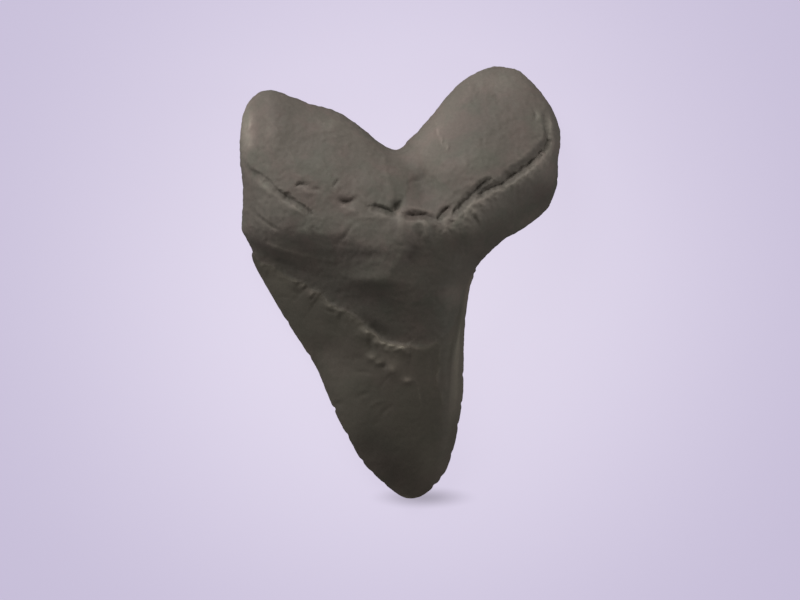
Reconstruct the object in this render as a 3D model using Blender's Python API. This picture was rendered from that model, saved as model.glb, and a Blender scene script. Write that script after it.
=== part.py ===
"""A fossil megalodon tooth, lying on its flat labial face with the lingual face up.

+Y runs from the crown's tip to the root, +X towards the taller lobe of the root, and +Z is up.
The origin is under the middle of the tooth, on the surface that it lies on.

The tooth is one body. Its outline is a rim of rings round a smooth closed curve, and inside the
rim a triangulated plan carries the lingual relief on top and the labial face underneath.
Plan positions and heights are in millimetres until the mesh is made.
"""

import bmesh
import bpy
import numpy as np
from mathutils import Vector
from mathutils.geometry import delaunay_2d_cdt

MM = 0.001

# Outline of the root, clockwise, seen from above: the lobe on the notch's right, and the lobe on its left.
RIGHT_LOBE = [
    (-2, 43), (1, 44), (2.5, 46), (6.5, 49.5), (10.7, 54.5), (15, 59.8), (20.5, 65.2), (26, 68.6),
    (31.5, 70), (37, 69.1), (41.2, 66.6), (46.8, 60.3), (50, 54.7), (51.8, 49.5), (52, 44.5),
    (51.2, 39), (51, 32), (49.2, 26), (46.4, 22.2), (40.4, 17.5), (34, 13.8), (29.5, 10), (25, 5),
]
LEFT_LOBE = [
    (-48.2, 10.5), (-50, 14.2), (-51.5, 18), (-51, 25), (-51.2, 33), (-52, 41), (-51.8, 49),
    (-50.2, 56.3), (-47, 60.8), (-42.2, 62.2), (-37.5, 61), (-29, 57.8), (-20, 55), (-13.5, 50.7),
    (-7, 45.5),
]
# Cutting edges of the crown, from the right shoulder round the tip to the left shoulder.
RIGHT_EDGE = [
    (24.7, 3), (23, -1), (21.8, -8), (20.9, -18), (20.7, -28), (20.5, -37), (19.3, -45),
    (17.5, -54), (15, -61.2), (11.4, -66.2), (7.8, -69.2), (4.4, -70.4),
]
LEFT_EDGE = [
    (1, -70), (-3.3, -67.2), (-8.1, -62.9), (-12.4, -58.3), (-15.9, -52.3), (-19.9, -45),
    (-23.6, -36.5), (-27.2, -28), (-31.5, -21), (-36.7, -13), (-42.8, -2.7), (-46.8, 4.5),
    (-48.2, 8.3),
]

# Height of the lingual face above the surface, at spots of its broad form: x, y, height.
LINGUAL_SPOTS = [
    (32, 66, 9.8), (22, 61, 13.5), (41, 63, 13.5), (31, 55, 18.4), (19, 53, 16), (45, 53, 17.2),  # right lobe
    (12, 46, 17.6), (24, 44, 24.3), (36, 43, 23), (45.5, 46, 20.1), (33, 36, 25.5),
    (3.3, 39.5, 17), (6.6, 33, 20.4), (10, 27, 25), (-3, 39, 19), (-8, 41, 20), (2, 33, 21.6),  # trough
    (-3, 33, 23.6), (-9, 33, 25.4), (14, 37, 24.8), (17, 30, 27),
    (-42, 58, 14.5), (-31, 54, 16.5), (-22, 50, 18.5), (-49.5, 47, 12), (-42, 47, 19), (-36, 44, 20.2),
    (-24, 42, 22.5), (-15, 42, 21.2), (-48, 38, 16.5), (-37, 32, 23), (-22, 32, 26.3), (-14, 34, 25),
    (-48, 27, 16.5), (-39, 23, 22), (-29, 23, 24.6), (-18, 23, 26.8), (-8, 19, 28.5),  # bulge
    (3, 19, 29.2), (10, 18.5, 28.9), (-46, 18.5, 16.2), (-38, 17, 21), (-30, 16, 23.8),
    (-22, 15, 26), (-12, 12, 27.8), (-4, 8, 28), (4, 8, 26.4),
    (15.5, 16, 27.7), (20.5, 20, 28), (27, 26.7, 26.8), (32, 29.3, 25.6), (39.5, 32.5, 23.3),
    (46, 37, 20.3), (49.3, 42.5, 17.5),
    (23, 16, 26.4), (30, 21.5, 23.8), (37, 24.5, 19.5), (44, 29, 16.5),  # right flank
    (16, 10, 24.8), (19, 5, 21.5), (24, 2, 15), (27, 12, 19),
    (-45, 12, 13.8), (-36, 9, 15.2), (-28, 7.5, 17.6), (-20, 5, 20.8), (-33, 2, 14),  # foot
    (-24, -2, 16.5), (-4, 0, 25.2), (6, -2, 24.6), (-14, -5, 19.8), (5, -12, 21.2), (-5, -12, 20.3),
    (0, -19, 18.2), (15, -3, 20.8), (15, -13, 17.6),
    (6, -25, 17.2), (7, -38, 14.7), (6, -51, 11), (4, -63, 6.2), (3.5, -70, 2.8),  # ridge of the crown
    (-16, -15, 17), (-13, -35, 15), (-8, -52, 9.3), (15, -30, 14.2), (15, -50, 9.4),
]

# Folds of the lingual face, from -X to +X: x, y, depth, and width of the side towards the lobes.
FOLDS = [
    [(-51.2, 40.2, 0.4, 1), (-47.7, 36, 0.8, 1.1), (-44.4, 34.3, 0.7, 1), (-40.2, 30.4, 0.6, 1),
     (-36.3, 27.5, 1.5, 1.5), (-31.1, 24.3, 0.7, 1), (-27.5, 21, 0.1, 1)],
    [(-19.6, 26.5, 0.4, 1.2), (-17.5, 25.9, 1.5, 1.4), (-15, 26.5, 0.8, 1.2), (-13.2, 27, 0.1, 1)],
    [(-9.6, 24.4, 0.3, 1), (-5.8, 23.8, 1.3, 1.3), (-2.2, 22.6, 1.6, 1.5), (0.5, 23.4, 1.3, 1.5),
     (5, 21.7, 1.7, 1.6), (8.5, 21.6, 1.2, 1.3), (12.2, 20.4, 0.7, 1), (14.1, 23.2, 0.9, 1.2),
     (16.4, 24, 0.4, 1)],
    [(17.3, 21.2, 0.5, 1), (18.8, 23.9, 1.1, 1.3), (21.2, 26.5, 1.3, 1.6), (24.4, 29, 1.4, 1.8),
     (28.7, 30.7, 1.4, 1.6), (33.5, 32.3, 1.6, 2.2), (38.1, 35.2, 2.1, 3.1), (42.6, 38.9, 2, 2.8),
     (47.3, 43.8, 1.6, 2.1), (47.6, 48, 0.9, 1.2), (46.7, 53, 0.6, 1), (45.9, 57, 0.1, 1)],
]
FOLD_SLOPE = 1.8  # width of a fold's other side, which rises to the lip

# The lip along the right folds: x, y, height of its crest, and width of its side away from the folds.
LIP = [
    (11, 17, 0.2, 4), (17, 18.7, 0.9, 4), (21.5, 22.8, 1.2, 4.5), (26.4, 25.6, 1.1, 5),
    (31.2, 28.4, 1.1, 4), (36.1, 31, 1.1, 3), (41, 34, 1.2, 2.4), (45.8, 38.6, 1.5, 2.4),
    (49.3, 44.7, 1.1, 2), (48.6, 53, 0.3, 2),
]
LIP_INNER = 2.8  # width of its side towards the folds

# Foot of the root's bulge, where the crown's sections take over.
BULGE_FOOT = [(-50, 9.5), (-40, 7), (-28, 3.5), (-12, -1.5), (6, -4), (17, -1), (25, 3.5)]
FOOT_WIDTH = 7.0

CROWN_RIDGE = [(4.5, -70), (6, -50), (7, -20), (8, 10)]  # highest line of the crown, from its tip to the root

# Upper edge of the enamel: x, y and height of its step over the neck.
ENAMEL_EDGE = [
    (-47.3, 8, 0.4), (-43, 5.5, 0.7), (-37.3, 2.2, 0.9), (-34, 0.8, 1.1), (-31.4, -0.3, 0.9),
    (-28.5, -2.7, 1), (-24.9, -5, 0.8), (-20.4, -8.3, 1.1), (-16.6, -10, 0.8), (-12.9, -12.8, 0.6),
    (-10.3, -15.6, 1.2), (-6.4, -18.6, 1.4), (-1.2, -20.3, 1.8), (2.5, -20.5, 1), (8.2, -21, 0.5),
    (13.1, -18.6, 0.2), (17, -14.5, 0.1), (19.5, -8, 0.1), (21.5, -1, 0.2), (25, 3.3, 0.2),
]
ENAMEL_RIDGE_AT, ENAMEL_UPPER, ENAMEL_LOWER = 0.5, 1.2, 2.4  # crest, and widths of its two sides
ENAMEL_RIDGE_SHARE, ENAMEL_STEP_SHARE, ENAMEL_FADE = 0.55, 0.5, 7.0

# Groove inside the right cutting edge: x, y and height.
EDGE_GROOVE = [
    (22.2, 0, -0.1), (20.6, -5.9, -0.8), (19.3, -12.4, -1.0), (17.5, -20.5, -0.7), (16.6, -27, -0.3),
    (16.2, -33.5, -0.1),
]

# Grooves (below zero) and ridges (above): half width, then x, y and height of each point.
GROOVES = [
    (0.9, EDGE_GROOVE),
    (1.8, [(-44.7, 15.8, -0.2), (-38.9, 14.2, -0.6), (-32.4, 12.9, -0.8), (-26.6, 12.7, -0.7),
           (-20.1, 13, -0.6), (-16.5, 13.5, -0.2)]),  # under the left shelf
    (1.3, [(-46.7, 13.6, 0.3), (-42.1, 11.6, 0.7), (-37.3, 10, 0.8), (-32.4, 8.7, 0.6), (-27, 7.5, 0.4),
           (-21, 6.6, 0.1)]),
    (1.8, [(-46.4, 11.3, -0.3), (-41.5, 8.4, -0.9), (-36.3, 6.1, -1.1), (-30.8, 3.8, -0.8),
           (-25.3, 1.5, -0.5), (-19.4, -0.4, -0.2)]),
    (1.7, [(-0.8, 22.5, 0.3), (-0.9, 19.4, 0.7), (-0.7, 15.2, 0.5), (-0.8, 10.5, 0.1)]),  # buttresses
    (1.6, [(5.5, 16.8, 0.3), (2.8, 11.2, 0.6), (-0.6, 5.8, 0.6), (-3.2, 2.6, 0.2)]),
    (3.4, [(-43.5, 60, 0.1), (-42, 55.8, 0.3), (-41, 49.9, 0.4), (-39.4, 44.4, 0.4), (-36.5, 39.5, 0.4),
           (-33, 35, 0.1)]),  # shoulder of the left lobe
    (3.6, [(0.6, 42.1, -0.2), (3.4, 38.9, -0.6), (6.4, 33.7, -0.8), (8.3, 29.2, -0.7), (10, 24.6, -0.2)]),
]

# Rounded lumps (positive) and hollows (negative) of the lingual face:
# x, y, half length, half width, turn in degrees from +X, height.
LUMPS = [
    (-9.5, 0.6, 7.5, 2.2, -3, 1.4), (-8, 8, 9, 2.0, -6, -0.3), (-6.4, -5, 7, 2.6, 0, -0.3),  # foot
    (-14, 17, 3.5, 5, 20, 0.3), (-7, 15.5, 3, 5, 0, -0.2), (-21, 11, 6, 2.5, -12, -0.6),  # soft rolls
    (-16, 22.5, 3.5, 1.6, 0, 0.4), (-8, 20.8, 4.5, 1.6, 0, 0.3),
    (-43.4, 30.1, 3.6, 1.6, -38, 0.7), (-42.1, 18.4, 4, 1, -32, -0.6),  # facets under the left fold
    (1.5, 17, 3.4, 5.5, -20, 0.7), (4, -11, 9, 5, 0, -0.2), (-8, -15, 5, 1.7, -38, -1.0),  # neck
    (-1.4, 24.2, 2.4, 1.9, 65, -1.2), (-28.5, 30, 4, 1.3, -12, -0.5),  # wells in the folds
    (24.8, 19.4, 2.5, 0.9, -70, -0.5),
    (-48.8, 47.5, 1.2, 4.5, 0, 0.7), (13, 46.5, 1.2, 3.6, 10, 0.6), (44.6, 52.5, 1, 2.4, 5, 0.5),  # lobes
    (-3.8, -24.8, 3.4, 3.4, -20, 0.5), (-9.2, -21.5, 1.4, 2, -25, -0.5),  # rough enamel of the crown
    (-2.8, -28.4, 1.8, 2.4, 20, 0.4), (2.4, -31.9, 1.6, 1.2, 5, 0.4), (-25.5, -22.4, 7, 4.2, 5, -0.6),
]

# Chips out of the cutting edges: x, y, half width, depth.
EDGE_CHIPS = [
    (-21.4, -42, 1.5, 0.5), (-17.3, -50.5, 1.6, 0.4), (-12.9, -58.6, 1.6, 0.5),
    (19.9, -43.5, 1.6, 0.4), (17.8, -54, 1.6, 0.3), (11.5, -65.6, 1.8, 0.4),
]

RELIEF_MARGIN = 3.0  # how far in from the outline the relief reaches its full height
LINE_STEP = 0.8  # between the points of a fold, ridge or groove
TENT_ROUNDING = 0.1

# Rounding of the rim: how far in from the outline the faces reach their full height.
ROOT_RIM_TOP, ROOT_RIM_UNDER, CROWN_RIM = 10.5, 6.5, 3.4
RIM_HEIGHT_ROOT, RIM_HEIGHT_CROWN = 7.0, 3.4  # the outline's own height above the surface
TIP_THINNING = 0.5  # how much lower the outline is at the tip
INSET_PLAIN, INSET_SOFT = 1.5, 4.5  # where the plain distance from the outline gives way to the soft one

# Fullness of the crown's flanks: 1 is a straight slope, more is a rounder one.
CROWN_FULLNESS_LEFT, CROWN_FULLNESS_SHOULDER, CROWN_FULLNESS_RIGHT = 2.0, 3.5, 6.0
SHOULDER_FROM, SHOULDER_TO = -25, 0  # y between which the left flank turns into the shoulder

# The labial face: pads that touch the surface, the lift between them, and its shallow hollows.
REST_PADS = [(-35, 36, 9), (33, 42, 9), (2, -30, 10)]
LABIAL_LIFT, PAD_PRESS = 0.45, 2.2  # the lift, and how firmly the pads press it flat
LABIAL_HOLLOWS = [(0, 38, 11, 9, 0, 3.2), (4, -68, 12, 9, 0, 1.0)]
LABIAL_ENAMEL_EDGE = [(-47.5, 8.6), (-32, 2), (-12, -2.5), (8, -2.5), (24, 3.5)]
LABIAL_STEP, LABIAL_WALL, LABIAL_NECK = 0.9, 1.0, 9  # step up to the root, half its width, its fading
CROWN_RIM_UNDER, CROWN_FULLNESS_UNDER = 6.8, 0.8

OUTLINE_STEP, INNER_STEP_ABOVE, INNER_STEP_BELOW, FOLD_STEP = 2.0, 2.1, 4.0, 2.0
GRID_GAP, ROW_GAP = 0.45, 0.36  # least distance between points, as shares of their steps
RING_REACH_TOP, RING_REACH_UNDER = 7.0, 6.0  # how far in the rings of the root's rim go
RINGS_ABOVE, RINGS_BELOW, RIM_STEPS = 5, 4, 16
COLOUR, ROUGHNESS = (0.10, 0.088, 0.076, 1), 0.62


def smooth_line(points, step, closed=False):
    """Points a step apart on the Catmull-Rom curve through the given ones, with their other columns."""
    p = np.asarray(points, float)
    p = np.vstack([p[-1], p, p[0], p[1]] if closed else [2 * p[0] - p[1], p, 2 * p[-1] - p[-2]])
    t = np.linspace(0, 1, 20, endpoint=False)[:, None]
    spans = [
        b + ((c - a) * t + (2 * a - 5 * b + 4 * c - d) * t**2 + (3 * b - a - 3 * c + d) * t**3) / 2
        for a, b, c, d in zip(p, p[1:], p[2:], p[3:])
    ]
    fine = np.vstack([*spans, p[-2]])
    run = np.concatenate([[0], np.cumsum(np.linalg.norm(np.diff(fine[:, :2], axis=0), axis=1))])
    at = np.linspace(0, run[-1], round(run[-1] / step) + 1)
    even = np.column_stack([np.interp(at, run, column) for column in fine.T])
    return even[:-1] if closed else even


def beside(points, line):
    """Distance of each point from a line, positive on the line's right, and the line's values there."""
    start, way = line[:-1, :2], np.diff(line[:, :2], axis=0)
    squared = (way**2).sum(1)
    apart, values = np.empty(len(points)), np.empty((len(points), line.shape[1]))
    for block in np.array_split(np.arange(len(points)), len(points) // 2000 + 1):
        off = points[block, None] - start
        t = np.clip((off * way).sum(2) / squared, 0, 1)
        gap = off - t[..., None] * way
        distance = np.linalg.norm(gap, axis=2)
        near = distance.argmin(1)
        row = np.arange(len(block))
        turn = way[near, 0] * gap[row, near, 1] - way[near, 1] * gap[row, near, 0]
        apart[block] = distance[row, near] * np.where(turn > 0, -1, 1)
        t = t[row, near, None]
        values[block] = line[near] * (1 - t) + line[near + 1] * t
    return apart, values


def inset_from(points, line):
    """How far inside the outline each point lies, without a plain distance's creases at corners."""
    closed = np.vstack([line, line[0]])
    along_a_straight_line = 5 * np.pi / 16  # the integral of (1 + u * u) ** -4
    plain = np.maximum(beside(points, closed)[0], 0)
    stretch = np.linalg.norm(np.roll(line, -1, axis=0) - np.roll(line, 1, axis=0), axis=1) / 2
    soft = np.empty(len(points))
    for block in np.array_split(np.arange(len(points)), len(points) // 2000 + 1):
        squared = ((points[block, None] - line) ** 2).sum(2) + 1e-9
        soft[block] = (squared**-4 @ stretch / along_a_straight_line) ** (-1 / 7)
    share = smoothstep(INSET_PLAIN, INSET_SOFT, plain)
    return plain * (1 - share) + soft * share


def smoothstep(low, high, value):
    t = np.clip((value - low) / (high - low), 0, 1)
    return t * t * (3 - 2 * t)


def bell(value, width):
    return np.exp(-((value / width) ** 2))


def tent(value, width):
    """1 at 0 and straight down to 0 at the width, with a rounded top."""
    return np.clip(1 + TENT_ROUNDING - np.hypot(value / width, TENT_ROUNDING), 0, 1)


def thin_plate(spots):
    """The smoothest surface through spot heights, as a function of points."""
    spots = np.asarray(spots, float)
    where, heights = spots[:, :2], spots[:, 2]

    def columns(points):
        r2 = ((points[:, None] - where) ** 2).sum(2)
        return r2 * np.log(r2 + 1e-9) / 2

    plane = np.column_stack([np.ones(len(where)), where])
    matrix = np.block([[columns(where), plane], [plane.T, np.zeros((3, 3))]])
    weights = np.linalg.solve(matrix, np.concatenate([heights, np.zeros(3)]))

    def height(points):
        plane_there = np.column_stack([np.ones(len(points)), points])
        return columns(points) @ weights[:-3] + plane_there @ weights[-3:]

    return height


def lumps(points, shapes):
    """Sum of oval bells: each x, y, half length, half width, turn and height."""
    total = np.zeros(len(points))
    for x, y, length, width, turn, height in shapes:
        c, s = np.cos(np.radians(turn)), np.sin(np.radians(turn))
        dx, dy = points[:, 0] - x, points[:, 1] - y
        total += height * bell(dx * c + dy * s, length) * bell(dy * c - dx * s, width)
    return total


def outline():
    """The tooth's outline, clockwise, with the chips of its cutting edges."""
    line = smooth_line(RIGHT_LOBE + RIGHT_EDGE + LEFT_EDGE + LEFT_LOBE, OUTLINE_STEP, closed=True)
    inward = inward_of(line)
    for x, y, width, depth in EDGE_CHIPS:
        distance = np.linalg.norm(line - (x, y), axis=1)
        line = line + inward * (depth * bell(distance, width))[:, None]
    return line


def inward_of(ring):
    """Unit normals of a clockwise ring, pointing into it."""
    way = np.roll(ring, -1, axis=0) - np.roll(ring, 1, axis=0)
    normal = np.column_stack([way[:, 1], -way[:, 0]])
    return normal / np.linalg.norm(normal, axis=1)[:, None]


def root_share(points):
    """0 on the crown and 1 on the root, changing across the foot of the bulge."""
    foot_x, foot_y = np.transpose(BULGE_FOOT)
    return smoothstep(-FOOT_WIDTH, FOOT_WIDTH, points[:, 1] - np.interp(points[:, 0], foot_x, foot_y))


def inner_ring(line, reach):
    """The ring where the rim ends: the outline moved in, and evened out so that it can't cross itself."""
    ring = line
    steps = (CROWN_RIM + (reach - CROWN_RIM) * root_share(line)[:, None]) / RIM_STEPS
    for _ in range(RIM_STEPS):
        ring = ring + inward_of(ring) * steps
        ring = ring / 2 + (np.roll(ring, 1, axis=0) + np.roll(ring, -1, axis=0)) / 4
    return ring


def rim_rings(line, count, reach):
    """Rings from the outline in to the inner ring, closer together near the outline."""
    inner = inner_ring(line, reach)
    insets = [1 - np.cos(np.pi / 2 * k / count) for k in range(1, count + 1)]
    return [line + (inner - line) * inset for inset in insets]


def rim_share(inset, reach, fullness=0.5):
    """0 at the outline and 1 from the reach inwards, upright at the outline and smooth at the reach."""
    return (1 - (1 - np.clip(inset / reach, 0, 1)) ** 3) ** fullness


def crown_share(points):
    """0 at the cutting edges and 1 on the crown's ridge, across the crown."""
    x, y = points.T

    def x_on(line):
        line = np.array(line, float)
        line = line[line[:, 1].argsort()]
        return np.interp(y, line[:, 1], line[:, 0])

    x_right, x_left, x_ridge = x_on(RIGHT_EDGE), x_on(LEFT_EDGE + RIGHT_EDGE[-1:]), x_on(CROWN_RIDGE)
    right_of_ridge = x > x_ridge
    across = np.where(right_of_ridge, (x_right - x) / np.maximum(x_right - x_ridge, 0.1),
                      (x - x_left) / np.maximum(x_ridge - x_left, 0.1))
    left = np.interp(y, [SHOULDER_FROM, SHOULDER_TO], [CROWN_FULLNESS_LEFT, CROWN_FULLNESS_SHOULDER])
    fullness = np.where(right_of_ridge, CROWN_FULLNESS_RIGHT, left)
    return 1 - (1 - np.clip(across, 0, 1)) ** fullness


def folds(points):
    """The folds: slits with sharp bottoms, between a wall towards the lobes and a slope to the lip."""
    total = np.zeros(len(points))
    for fold in FOLDS:
        apart, values = beside(points, smooth_line(fold, LINE_STEP))
        width = np.where(apart < 0, values[:, 3], FOLD_SLOPE)
        total = np.minimum(total, -values[:, 2] * tent(apart, width))
    return total


def lip(points):
    """The lip that stands proud beside the folds of the bulge."""
    apart, values = beside(points, smooth_line(LIP, LINE_STEP))
    return values[:, 2] * bell(apart, np.where(apart < 0, LIP_INNER, values[:, 3]))


def grooves_and_ridges(points):
    total = np.zeros(len(points))
    for width, line in GROOVES:
        apart, values = beside(points, smooth_line(line, LINE_STEP))
        total += values[:, 2] * bell(apart, width)
    return total


def enamel_step(points):
    """The enamel's edge: a ridge on a low step that fades into the crown."""
    apart, values = beside(points, smooth_line(ENAMEL_EDGE, LINE_STEP))
    past = apart - ENAMEL_RIDGE_AT
    ridge = bell(past, np.where(past < 0, ENAMEL_UPPER, ENAMEL_LOWER))
    step = smoothstep(-1, 1, apart) * bell(np.maximum(apart, 0), ENAMEL_FADE)
    return values[:, 2] * (ENAMEL_RIDGE_SHARE * ridge + ENAMEL_STEP_SHARE * step)


def rim_height(points):
    share = root_share(points)
    near_tip = smoothstep(-45, -70, points[:, 1])
    return RIM_HEIGHT_CROWN + (RIM_HEIGHT_ROOT - RIM_HEIGHT_CROWN) * share - TIP_THINNING * near_tip


def lingual_height(points, inset, broad_form):
    """Height of the upper face, with its folds, lip and lumps."""
    share = root_share(points)
    rise = share * rim_share(inset, ROOT_RIM_TOP) + (1 - share) * crown_share(points)
    relief = folds(points) + lip(points) + grooves_and_ridges(points)
    relief += enamel_step(points) + lumps(points, LUMPS)
    base = rim_height(points)
    return base + rise * (broad_form(points) - base) + relief * smoothstep(0, RELIEF_MARGIN, inset)


def labial_height(points, inset):
    """Height of the face underneath: flat on its pads, and a little hollow between them and over the neck."""
    pads = sum(bell(np.linalg.norm(points - (x, y), axis=1), r) for x, y, r in REST_PADS)
    apart, _ = beside(points, smooth_line(LABIAL_ENAMEL_EDGE, LINE_STEP))
    neck = smoothstep(LABIAL_WALL, -LABIAL_WALL, apart) * bell(np.minimum(apart, 0), LABIAL_NECK)
    full = LABIAL_LIFT * (1 - PAD_PRESS * pads) + LABIAL_STEP * neck + lumps(points, LABIAL_HOLLOWS)
    share = root_share(points)
    crown = rim_share(inset, CROWN_RIM_UNDER, CROWN_FULLNESS_UNDER)
    rise = share * rim_share(inset, ROOT_RIM_UNDER) + (1 - share) * crown
    return rim_height(points) * (1 - rise) + np.maximum(full, 0) * rise


def fold_rows(line, offsets):
    """Rows of points beside a fold, so that edges of the mesh follow it."""
    row = smooth_line(np.asarray(line)[:, :2], FOLD_STEP)
    way = np.gradient(row, axis=0)
    right = np.column_stack([way[:, 1], -way[:, 0]]) / np.linalg.norm(way, axis=1)[:, None]
    return [row + right * offset for offset in offsets]


def plan(ring, rows, step):
    """Triangles over the inside of a ring: its corners, then the rows along the folds, then a grid."""
    low, high = ring.min(0), ring.max(0)
    columns = np.arange(low[0], high[0], step)
    levels = np.arange(low[1], high[1], step * np.sqrt(3) / 2)
    grid = np.array([(x + step / 2 * (i % 2), y) for i, y in enumerate(levels) for x in columns])
    closed = np.vstack([ring, ring[0]])
    kept = np.empty((0, 2))
    for points, gap in [*((row, ROW_GAP * FOLD_STEP) for row in rows), (grid, GRID_GAP * step)]:
        depth, _ = beside(points, closed)
        fits = depth > GRID_GAP * step
        if len(kept):
            fits &= np.linalg.norm(points[:, None] - kept, axis=2).min(1) > gap
        kept = np.vstack([kept, points[fits]])
    points = np.vstack([ring, kept])
    made = delaunay_2d_cdt([Vector(p) for p in points], [], [list(range(len(ring)))], 1, 1e-6)
    return np.array([tuple(v) for v in made[0]]), made[2]


def face_rows(a, b, count):
    """Quads between two rings of vertex numbers."""
    return [(a + i, a + (i + 1) % count, b + (i + 1) % count, b + i) for i in range(count)]


def half(line, rings, rows, step, height):
    """One face of the tooth: its vertices inside the outline, and faces that number the outline's too."""
    count = len(line)
    flat, triangles = plan(rings[-1], rows, step)
    points = np.vstack([*rings[:-1], flat])
    faces = [f for k in range(len(rings)) for f in face_rows(k * count, (k + 1) * count, count)]
    faces += [tuple(len(rings) * count + i for i in triangle) for triangle in triangles]
    return np.column_stack([points, height(points, inset_from(points, line))]), faces


def tooth_mesh():
    line = outline()
    count = len(line)
    broad_form = thin_plate(LINGUAL_SPOTS)
    rows = [row for fold in FOLDS for row in fold_rows(fold, [0, -FOLD_SLOPE, FOLD_SLOPE])]
    rows += fold_rows(LIP, [0]) + fold_rows(EDGE_GROOVE, [0])
    rows += fold_rows(ENAMEL_EDGE, [ENAMEL_RIDGE_AT - ENAMEL_UPPER, ENAMEL_RIDGE_AT, ENAMEL_LOWER])
    rings_above = rim_rings(line, RINGS_ABOVE, RING_REACH_TOP)
    rings_below = rim_rings(line, RINGS_BELOW, RING_REACH_UNDER)
    above, above_faces = half(line, rings_above, rows, INNER_STEP_ABOVE,
                              lambda points, inset: lingual_height(points, inset, broad_form))
    labial_rows = fold_rows(LABIAL_ENAMEL_EDGE, [k * LABIAL_WALL for k in (-3, -1, 1, 3)])
    below, below_faces = half(line, rings_below, labial_rows, INNER_STEP_BELOW, labial_height)
    edge = np.column_stack([line, rim_height(line)])
    vertices = np.vstack([edge, above, below]) * MM
    skip = len(above)
    below_faces = [tuple(i + skip if i >= count else i for i in reversed(f)) for f in below_faces]
    return vertices, above_faces + below_faces


def fossil_material():
    material = bpy.data.materials.new("fossil")
    material.use_nodes = True
    shader = material.node_tree.nodes["Principled BSDF"]
    shader.inputs["Base Color"].default_value = COLOUR
    shader.inputs["Roughness"].default_value = ROUGHNESS
    shader.inputs["Metallic"].default_value = 0.0
    return material


def build_tooth():
    vertices, faces = tooth_mesh()
    mesh = bpy.data.meshes.new("tooth")
    mesh.from_pydata([tuple(v) for v in vertices], [], faces)
    work = bmesh.new()
    work.from_mesh(mesh)
    bmesh.ops.triangulate(work, faces=work.faces, quad_method="SHORT_EDGE")
    bmesh.ops.recalc_face_normals(work, faces=work.faces)
    work.to_mesh(mesh)
    work.free()
    mesh.shade_smooth()
    mesh.materials.append(fossil_material())
    tooth = bpy.data.objects.new("tooth", mesh)
    bpy.context.scene.collection.objects.link(tooth)
    return tooth


def main():
    for old in list(bpy.data.objects):
        bpy.data.objects.remove(old)
    build_tooth()


main()
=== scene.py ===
"""The looks of a fossil megalodon tooth, lying on its labial face with the lingual face up.

+Y runs from the crown's tip to the root, +X towards the taller lobe of the root, and +Z is up.
The solid's form is made again as a fine mesh, from the same values, with the small relief of the real
surface: slits, pits, chips and ridges that lie in known places. Geometry Nodes add what the surface
has all over, such as its swells, grain and pores. Plan positions and heights are in millimetres
until the mesh is made.
"""

import math

import bpy
import numpy as np
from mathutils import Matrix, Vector, noise
from mathutils.geometry import delaunay_2d_cdt


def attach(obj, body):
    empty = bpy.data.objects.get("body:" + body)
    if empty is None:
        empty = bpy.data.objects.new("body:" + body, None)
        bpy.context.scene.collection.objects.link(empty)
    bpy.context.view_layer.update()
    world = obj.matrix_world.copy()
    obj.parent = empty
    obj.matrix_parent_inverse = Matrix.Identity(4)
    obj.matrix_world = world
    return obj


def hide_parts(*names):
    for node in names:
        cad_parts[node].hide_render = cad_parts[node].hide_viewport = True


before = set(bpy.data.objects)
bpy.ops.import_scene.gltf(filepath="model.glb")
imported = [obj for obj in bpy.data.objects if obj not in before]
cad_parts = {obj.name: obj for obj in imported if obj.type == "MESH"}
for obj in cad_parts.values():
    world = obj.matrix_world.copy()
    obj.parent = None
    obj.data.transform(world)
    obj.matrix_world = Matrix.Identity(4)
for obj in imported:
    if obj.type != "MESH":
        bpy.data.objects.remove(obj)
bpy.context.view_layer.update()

MM = 0.001

# ---------------------------------------------------------------- form of the tooth

# Outline of the root, clockwise, seen from above: the lobe on the notch's right, and the lobe on its left.
RIGHT_LOBE = [
    (-2, 43), (1, 44), (2.5, 46), (6.5, 49.5), (10.7, 54.5), (15, 59.8), (20.5, 65.2), (26, 68.6),
    (31.5, 70), (37, 69.1), (41.2, 66.6), (46.8, 60.3), (50, 54.7), (51.8, 49.5), (52, 44.5),
    (51.2, 39), (51, 32), (49.2, 26), (46.4, 22.2), (40.4, 17.5), (34, 13.8), (29.5, 10), (25, 5),
]
LEFT_LOBE = [
    (-48.2, 10.5), (-50, 14.2), (-51.5, 18), (-51, 25), (-51.2, 33), (-52, 41), (-51.8, 49),
    (-50.2, 56.3), (-47, 60.8), (-42.2, 62.2), (-37.5, 61), (-29, 57.8), (-20, 55), (-13.5, 50.7),
    (-7, 45.5),
]
# Cutting edges of the crown, from the right shoulder round the tip to the left shoulder.
RIGHT_EDGE = [
    (24.7, 3), (23, -1), (21.8, -8), (20.9, -18), (20.7, -28), (20.5, -37), (19.3, -45),
    (17.5, -54), (15, -61.2), (11.4, -66.2), (7.8, -69.2), (4.4, -70.4),
]
LEFT_EDGE = [
    (1, -70), (-3.3, -67.2), (-8.1, -62.9), (-12.4, -58.3), (-15.9, -52.3), (-19.9, -45),
    (-23.6, -36.5), (-27.2, -28), (-31.5, -21), (-36.7, -13), (-42.8, -2.7), (-46.8, 4.5),
    (-48.2, 8.3),
]

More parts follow.
